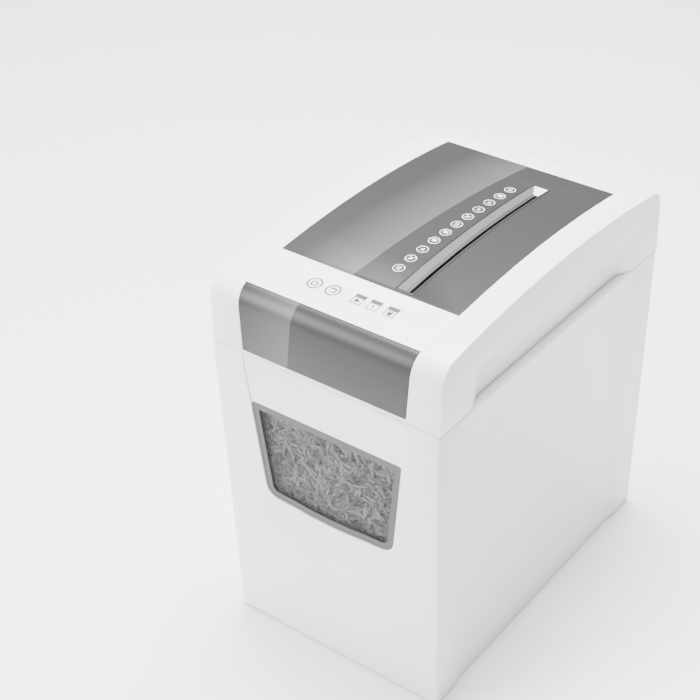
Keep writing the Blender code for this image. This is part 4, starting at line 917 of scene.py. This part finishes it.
def frame_print(width, depth, height):
    """A thin square outline."""
    line = width * STATUS_LINE_SHARE
    return [
        flat_bar(width, line, height, (0, depth / 2 - line / 2), round_off=0),
        flat_bar(width, line, height, (0, -depth / 2 + line / 2), round_off=0),
        flat_bar(line, depth - 2 * line, height, (-width / 2 + line / 2, 0), round_off=0),
        flat_bar(line, depth - 2 * line, height, (width / 2 - line / 2, 0), round_off=0),
    ]


def play_glyph(size, height):
    """A triangle that points right."""
    corners = [(-size * 0.45, -size * 0.5), (size * 0.55, 0), (-size * 0.45, size * 0.5)]
    return [flat_shape(corners, height)]


def alert_glyph(size, height):
    """A bar over a dot."""
    return [
        flat_bar(size * 0.24, size * 0.58, height, (0, size * 0.18)),
        flat_bar(size * 0.24, size * 0.22, height, (0, -size * 0.40)),
    ]


def bin_glyph(size, height):
    """A bin under its lid."""
    foot, rim = size * 0.34, size * 0.42
    low, high = -size * 0.5, size * 0.22
    body = [(-foot, low), (foot, low), (rim, high), (-rim, high)]
    return [flat_shape(body, height), flat_bar(size * 1.05, size * 0.16, height, (0, size * 0.40))]


# ---------------------------------------------------------------- works inside
class SHREDDER_OT_works(bpy.types.Operator):
    """Give the cutters, gears, motor and boards their finishes"""

    bl_idname = "shredder.works"
    bl_label = "Works"

    FINISH = (
        ("steel_turned", ("cutter_shaft", "sync_gear", "bearing_plate", "tie_bar", "stripper")),
        ("steel_turned", ("idler_pin", "motor_pinion", "motor_stator", "case_screw")),
        ("nylon_natural", ("drive_gear", "idler_gear")),
        ("copper_wound", ("field_coil", "motor_armature")),
        ("board_green", ("main_board", "control_board")),
        ("bronze_sintered", ("bush_",)),
        ("black_moulded", ("gearbox", "motor_cap", "motor_fan", "motor_cradle")),
        ("black_moulded", ("interlock_switch", "power_switch", "reverse_switch")),
        ("lip_grey", ("interlock_plunger",)),
    )

    def execute(self, context):
        for finish, starts in self.FINISH:
            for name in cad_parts:
                if name.startswith(starts):
                    repaint(name, finish)
        return {"FINISHED"}


# ---------------------------------------------------------------- paper shreds
def strip_pattern(length, width, bend, twist):
    """One paper particle: a narrow sheet, cut across, curled and twisted."""
    deselect()
    bpy.ops.mesh.primitive_plane_add(size=1, location=(0, 0, 0))
    strip = named("strip_pattern")
    strip.scale = (length, width, 1)
    only(strip)
    bpy.ops.object.transform_apply(location=False, rotation=False, scale=True)
    pick(strip, lambda edge: abs(edge.verts[0].co.x - edge.verts[1].co.x) > length / 2, "edges")
    bpy.ops.mesh.subdivide(number_cuts=3)
    leave_edit()
    for vert in strip.data.vertices:
        share = vert.co.x / length
        curl = bend * (share * share * 4 - 0.4) * length
        turn = twist * share
        y = vert.co.y
        vert.co.y = y * math.cos(turn)
        vert.co.z = curl + y * math.sin(turn)
    finish_with(strip, "SOLIDIFY", thickness=SHRED_THICKNESS, offset=0.0)
    return outward(strip)


class SHREDDER_OT_shreds(bpy.types.Operator):
    """Fill the bin with a heap of paper particles"""

    bl_idname = "shredder.shreds"
    bl_label = "Paper shreds"

    # how far each of the eight patterns is bent, and how far it is twisted, in radians
    CURLS = (
        (0.10, 0.6),
        (-0.13, -1.0),
        (0.22, 0.3),
        (-0.05, 1.9),
        (0.30, -0.5),
        (-0.24, 1.2),
        (0.02, 0.2),
        (0.15, -2.0),
    )
    TONES = (0.30, 0.5, 0.62, 0.75, 0.85, 0.95, 1.0)

    def execute(self, context):
        sizes = context.scene.shredder_sizes
        rng = random.Random(11)
        _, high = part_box("bin_shell")
        inner = Vector((high.x - BIN_WALLS[0], high.y - BIN_WALLS[1], 0))
        top_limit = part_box("head_skirt")[0].z - SKIRT_GAP

        def heap(x, y):
            """Height of the heap: a swell that is higher at the back right, and small waves."""
            swell = 0.010 * math.cos(x / inner.x * 1.3) + 0.012 * (y / inner.y + 0.1) * (x > 0)
            wave = 0.0035 * math.sin(x * 70 + 1.3) * math.cos(y * 55)
            wave += 0.003 * math.sin(y * 90 + x * 40)
            return min(sizes.heap_height + swell + wave - 0.002, top_limit - HEAP_GAP)

        core = self.core(heap, inner)
        dress(core, finish_named("paper_mixed"), "bin", "white_plastic")
        forms = []
        for bend, twist in self.CURLS:
            length = sizes.shred_length * rng.uniform(0.7, 1.15)
            pattern = strip_pattern(length, sizes.shred_width, bend, twist)
            points = [v.co.copy() for v in pattern.data.vertices]
            forms.append((points, [tuple(f.vertices) for f in pattern.data.polygons]))
            bpy.data.objects.remove(pattern)
        places = []
        for _ in range(sizes.shred_count):
            x = rng.uniform(-1, 1) * (inner.x - HEAP_MARGIN)
            y = rng.uniform(-1, 1) * (inner.y - HEAP_MARGIN)
            places.append((Vector((x, y, heap(x, y) + rng.uniform(*HEAP_LOOSE))), "flat"))
        window_low, window_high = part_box("window_pane")
        back = window_high.y + PANE_GAP
        highest = min(window_high.z, sizes.heap_height + 0.008)
        for _ in range(int(sizes.shred_count * WINDOW_SHARE)):
            x = rng.uniform(window_low.x, window_high.x)
            z = rng.uniform(window_low.z - 0.004, highest)
            places.append((Vector((x, back + rng.uniform(*WINDOW_SPREAD), z)), "wall"))
        self.strew("shreds", places, forms, rng, inner, top_limit, back)
        return {"FINISHED"}

    def core(self, heap, inner):
        """The mass of the heap under its loose surface, painted dark as the shade between the
        loose shreds.
        """
        deselect()
        columns, rows = MASS_CELLS
        bpy.ops.mesh.primitive_grid_add(x_subdivisions=columns, y_subdivisions=rows, size=2)
        core = named("shred_mass")
        reach = (inner.x - MASS_MARGINS[0], inner.y - MASS_MARGINS[1])
        for vert in core.data.vertices:
            x, y = vert.co.x * reach[0], vert.co.y * reach[1]
            vert.co = (x, y, heap(x, y) - MASS_SUNK)
        pick(core, lambda edge: edge.is_boundary, "edges")
        bpy.ops.mesh.extrude_region_move(TRANSFORM_OT_translate={"value": (0, 0, -0.01)})
        leave_edit()
        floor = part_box("bin_shell")[0].z + MASS_FLOOR
        # The extruded edge comes after the grid's own points.
        for vert in core.data.vertices[(columns + 1) * (rows + 1) :]:
            vert.co.x *= 0.97
            vert.co.y *= 0.985
            vert.co.z = floor
        pick(core, lambda edge: edge.is_boundary, "edges")
        bpy.ops.mesh.edge_face_add()
        leave_edit()
        # Blender lists the sides in another order each time, so they are taken by their place.
        faces = list(core.data.polygons)
        grid, sides, foot = faces[: columns * rows], faces[columns * rows : -1], faces[-1]
        sides.sort(key=lambda face: math.atan2(face.center.y, face.center.x))
        # The mass takes only the darkest tones, 0 to 0.25: painted shade, seen between the loose
        # shreds.
        rng = random.Random(3)
        tones = [0.0] * len(faces)
        for face in (*grid, *sides, foot):
            tones[face.index] = rng.uniform(0.0, 0.25)
        core.data.attributes.new("tone", "FLOAT", "FACE").data.foreach_set("value", tones)
        return settle(outward(core), 20)

    def strew(self, name, places, forms, rng, inner, top_limit, back):
        """Lays one copy of a particle at each place and keeps its shade."""
        groups = {"flat": ([], [], []), "wall": ([], [], [])}
        for spot, lie in places:
            points, faces = forms[rng.randrange(len(forms))]
            yaw = rng.uniform(0, 2 * math.pi)
            if lie == "flat":
                turn = (
                    Matrix.Rotation(yaw, 4, "Z")
                    @ Matrix.Rotation(rng.gauss(0, 0.35), 4, "Y")
                    @ Matrix.Rotation(rng.gauss(0, 0.5), 4, "X")
                )
            else:
                turn = (
                    Matrix.Rotation(math.pi / 2, 4, "X")
                    @ Matrix.Rotation(yaw, 4, "Z")
                    @ Matrix.Rotation(rng.gauss(0, 0.2), 4, "Y")
                )
            place = Matrix.Translation(spot) @ turn
            placed = [place @ p for p in points]
            if not all(
                abs(p.x) < inner.x
                and abs(p.y) < inner.y
                and p.z < top_limit
                and (lie == "flat" or p.y > back)
                for p in placed
            ):
                continue
            verts, polygons, tones = groups[lie]
            start = len(verts)
            verts += placed
            polygons += [tuple(i + start for i in face) for face in faces]
            tones += [rng.choice(self.TONES) * rng.uniform(0.9, 1.0)] * len(faces)
        for lie, word in (("flat", "on_heap"), ("wall", "at_window")):
            verts, polygons, tones = groups[lie]
            mesh = bpy.data.meshes.new(f"{name}_{word}")
            mesh.from_pydata(verts, [], polygons)
            mesh.update()
            thing = bpy.data.objects.new(f"{name}_{word}", mesh)
            bpy.context.scene.collection.objects.link(thing)
            mesh.attributes.new("tone", "FLOAT", "FACE").data.foreach_set("value", tones)
            dress(settle(thing, 20), finish_named("paper_mixed"), "bin", "white_plastic")


# ---------------------------------------------------------------- stage
class SHREDDER_OT_stage(bpy.types.Operator):
    """Set the camera, the pale floor and the soft studio lights"""

    bl_idname = "shredder.stage"
    bl_label = "Stage"

    def execute(self, context):
        self.camera(context)
        self.floor()
        self.lights(context)
        return {"FINISHED"}

    def camera(self, context):
        forward = Vector(
            (
                -math.cos(CAMERA_ELEVATION) * math.sin(CAMERA_AZIMUTH),
                math.cos(CAMERA_ELEVATION) * math.cos(CAMERA_AZIMUTH),
                -math.sin(CAMERA_ELEVATION),
            )
        )
        bpy.ops.object.camera_add(location=CAMERA_PLACE)
        camera = context.active_object
        camera.name = "studio_camera"
        camera.rotation_mode = "QUATERNION"
        camera.rotation_quaternion = forward.to_track_quat("-Z", "Y")
        camera.data.sensor_width = CAMERA_SENSOR
        camera.data.lens = CAMERA_LENS
        camera.data.shift_x = CAMERA_SHIFT
        camera.data.clip_start = 0.05
        camera.data.clip_end = 50
        context.scene.camera = camera

    def floor(self):
        deselect()
        bpy.ops.mesh.primitive_grid_add(
            x_subdivisions=8, y_subdivisions=8, size=FLOOR_SIZE, location=(0, 0, -FLOOR_DROP)
        )
        floor = settle(named("studio_floor"))
        finish, nodes, links, shader, place = node_tree("floor_pale")
        cloud = noise(nodes, links, place, 2.0, 2)
        stops = [(0.3, (0.955, 0.955, 0.955)), (0.7, (0.965, 0.965, 0.965))]
        links.new(graded(nodes, links, cloud, stops), shader.inputs["Base Color"])
        shader.inputs["Roughness"].default_value = 0.6
        floor.data.materials.append(finish)

    def lights(self, context):
        world = context.scene.world or bpy.data.worlds.new("studio")
        context.scene.world = world
        world.use_nodes = True
        background = world.node_tree.nodes.get("Background")
        background.inputs["Color"].default_value = (1.0, 1.0, 1.0, 1)
        background.inputs["Strength"].default_value = WORLD_STRENGTH
        aim = Vector(LAMP_AIM)
        for name, spot, size, power in LAMPS:
            bpy.ops.object.light_add(type="AREA", location=spot)
            lamp = context.active_object
            lamp.name = name
            lamp.data.size = size
            lamp.data.energy = power
            lamp.rotation_mode = "QUATERNION"
            lamp.rotation_quaternion = (aim - Vector(spot)).to_track_quat("-Z", "Y")


class SHREDDER_PT_panel(bpy.types.Panel):
    """Lists the pieces of the shredder"""

    bl_label = "Paper shredder"
    bl_idname = "SHREDDER_PT_panel"
    bl_space_type = "VIEW_3D"
    bl_region_type = "UI"
    bl_category = "Shredder"

    def draw(self, context):
        layout = self.layout
        for group in (context.scene.shredder_sizes, context.scene.shredder_colours):
            box = layout.box()
            for name in group.__annotations__:
                box.prop(group, name)
        for operator in STEPS:
            layout.operator(operator.bl_idname)


STEPS = (
    SHREDDER_OT_stage,
    SHREDDER_OT_bin,
    SHREDDER_OT_head,
    SHREDDER_OT_panels,
    SHREDDER_OT_slot,
    SHREDDER_OT_marks,
    SHREDDER_OT_keys,
    SHREDDER_OT_lamps,
    SHREDDER_OT_works,
    SHREDDER_OT_shreds,
)
CLASSES = (ShredderSizes, ShredderColours, *STEPS, SHREDDER_PT_panel)


def register():
    for cls in CLASSES:
        bpy.utils.register_class(cls)
    bpy.types.Scene.shredder_sizes = bpy.props.PointerProperty(type=ShredderSizes)
    bpy.types.Scene.shredder_colours = bpy.props.PointerProperty(type=ShredderColours)


def unregister():
    del bpy.types.Scene.shredder_colours
    del bpy.types.Scene.shredder_sizes
    for cls in reversed(CLASSES):
        bpy.utils.unregister_class(cls)


def main():
    register()
    for step in STEPS:
        family, name = step.bl_idname.split(".")
        getattr(getattr(bpy.ops, family), name)()


if __name__ == "__main__":
    main()
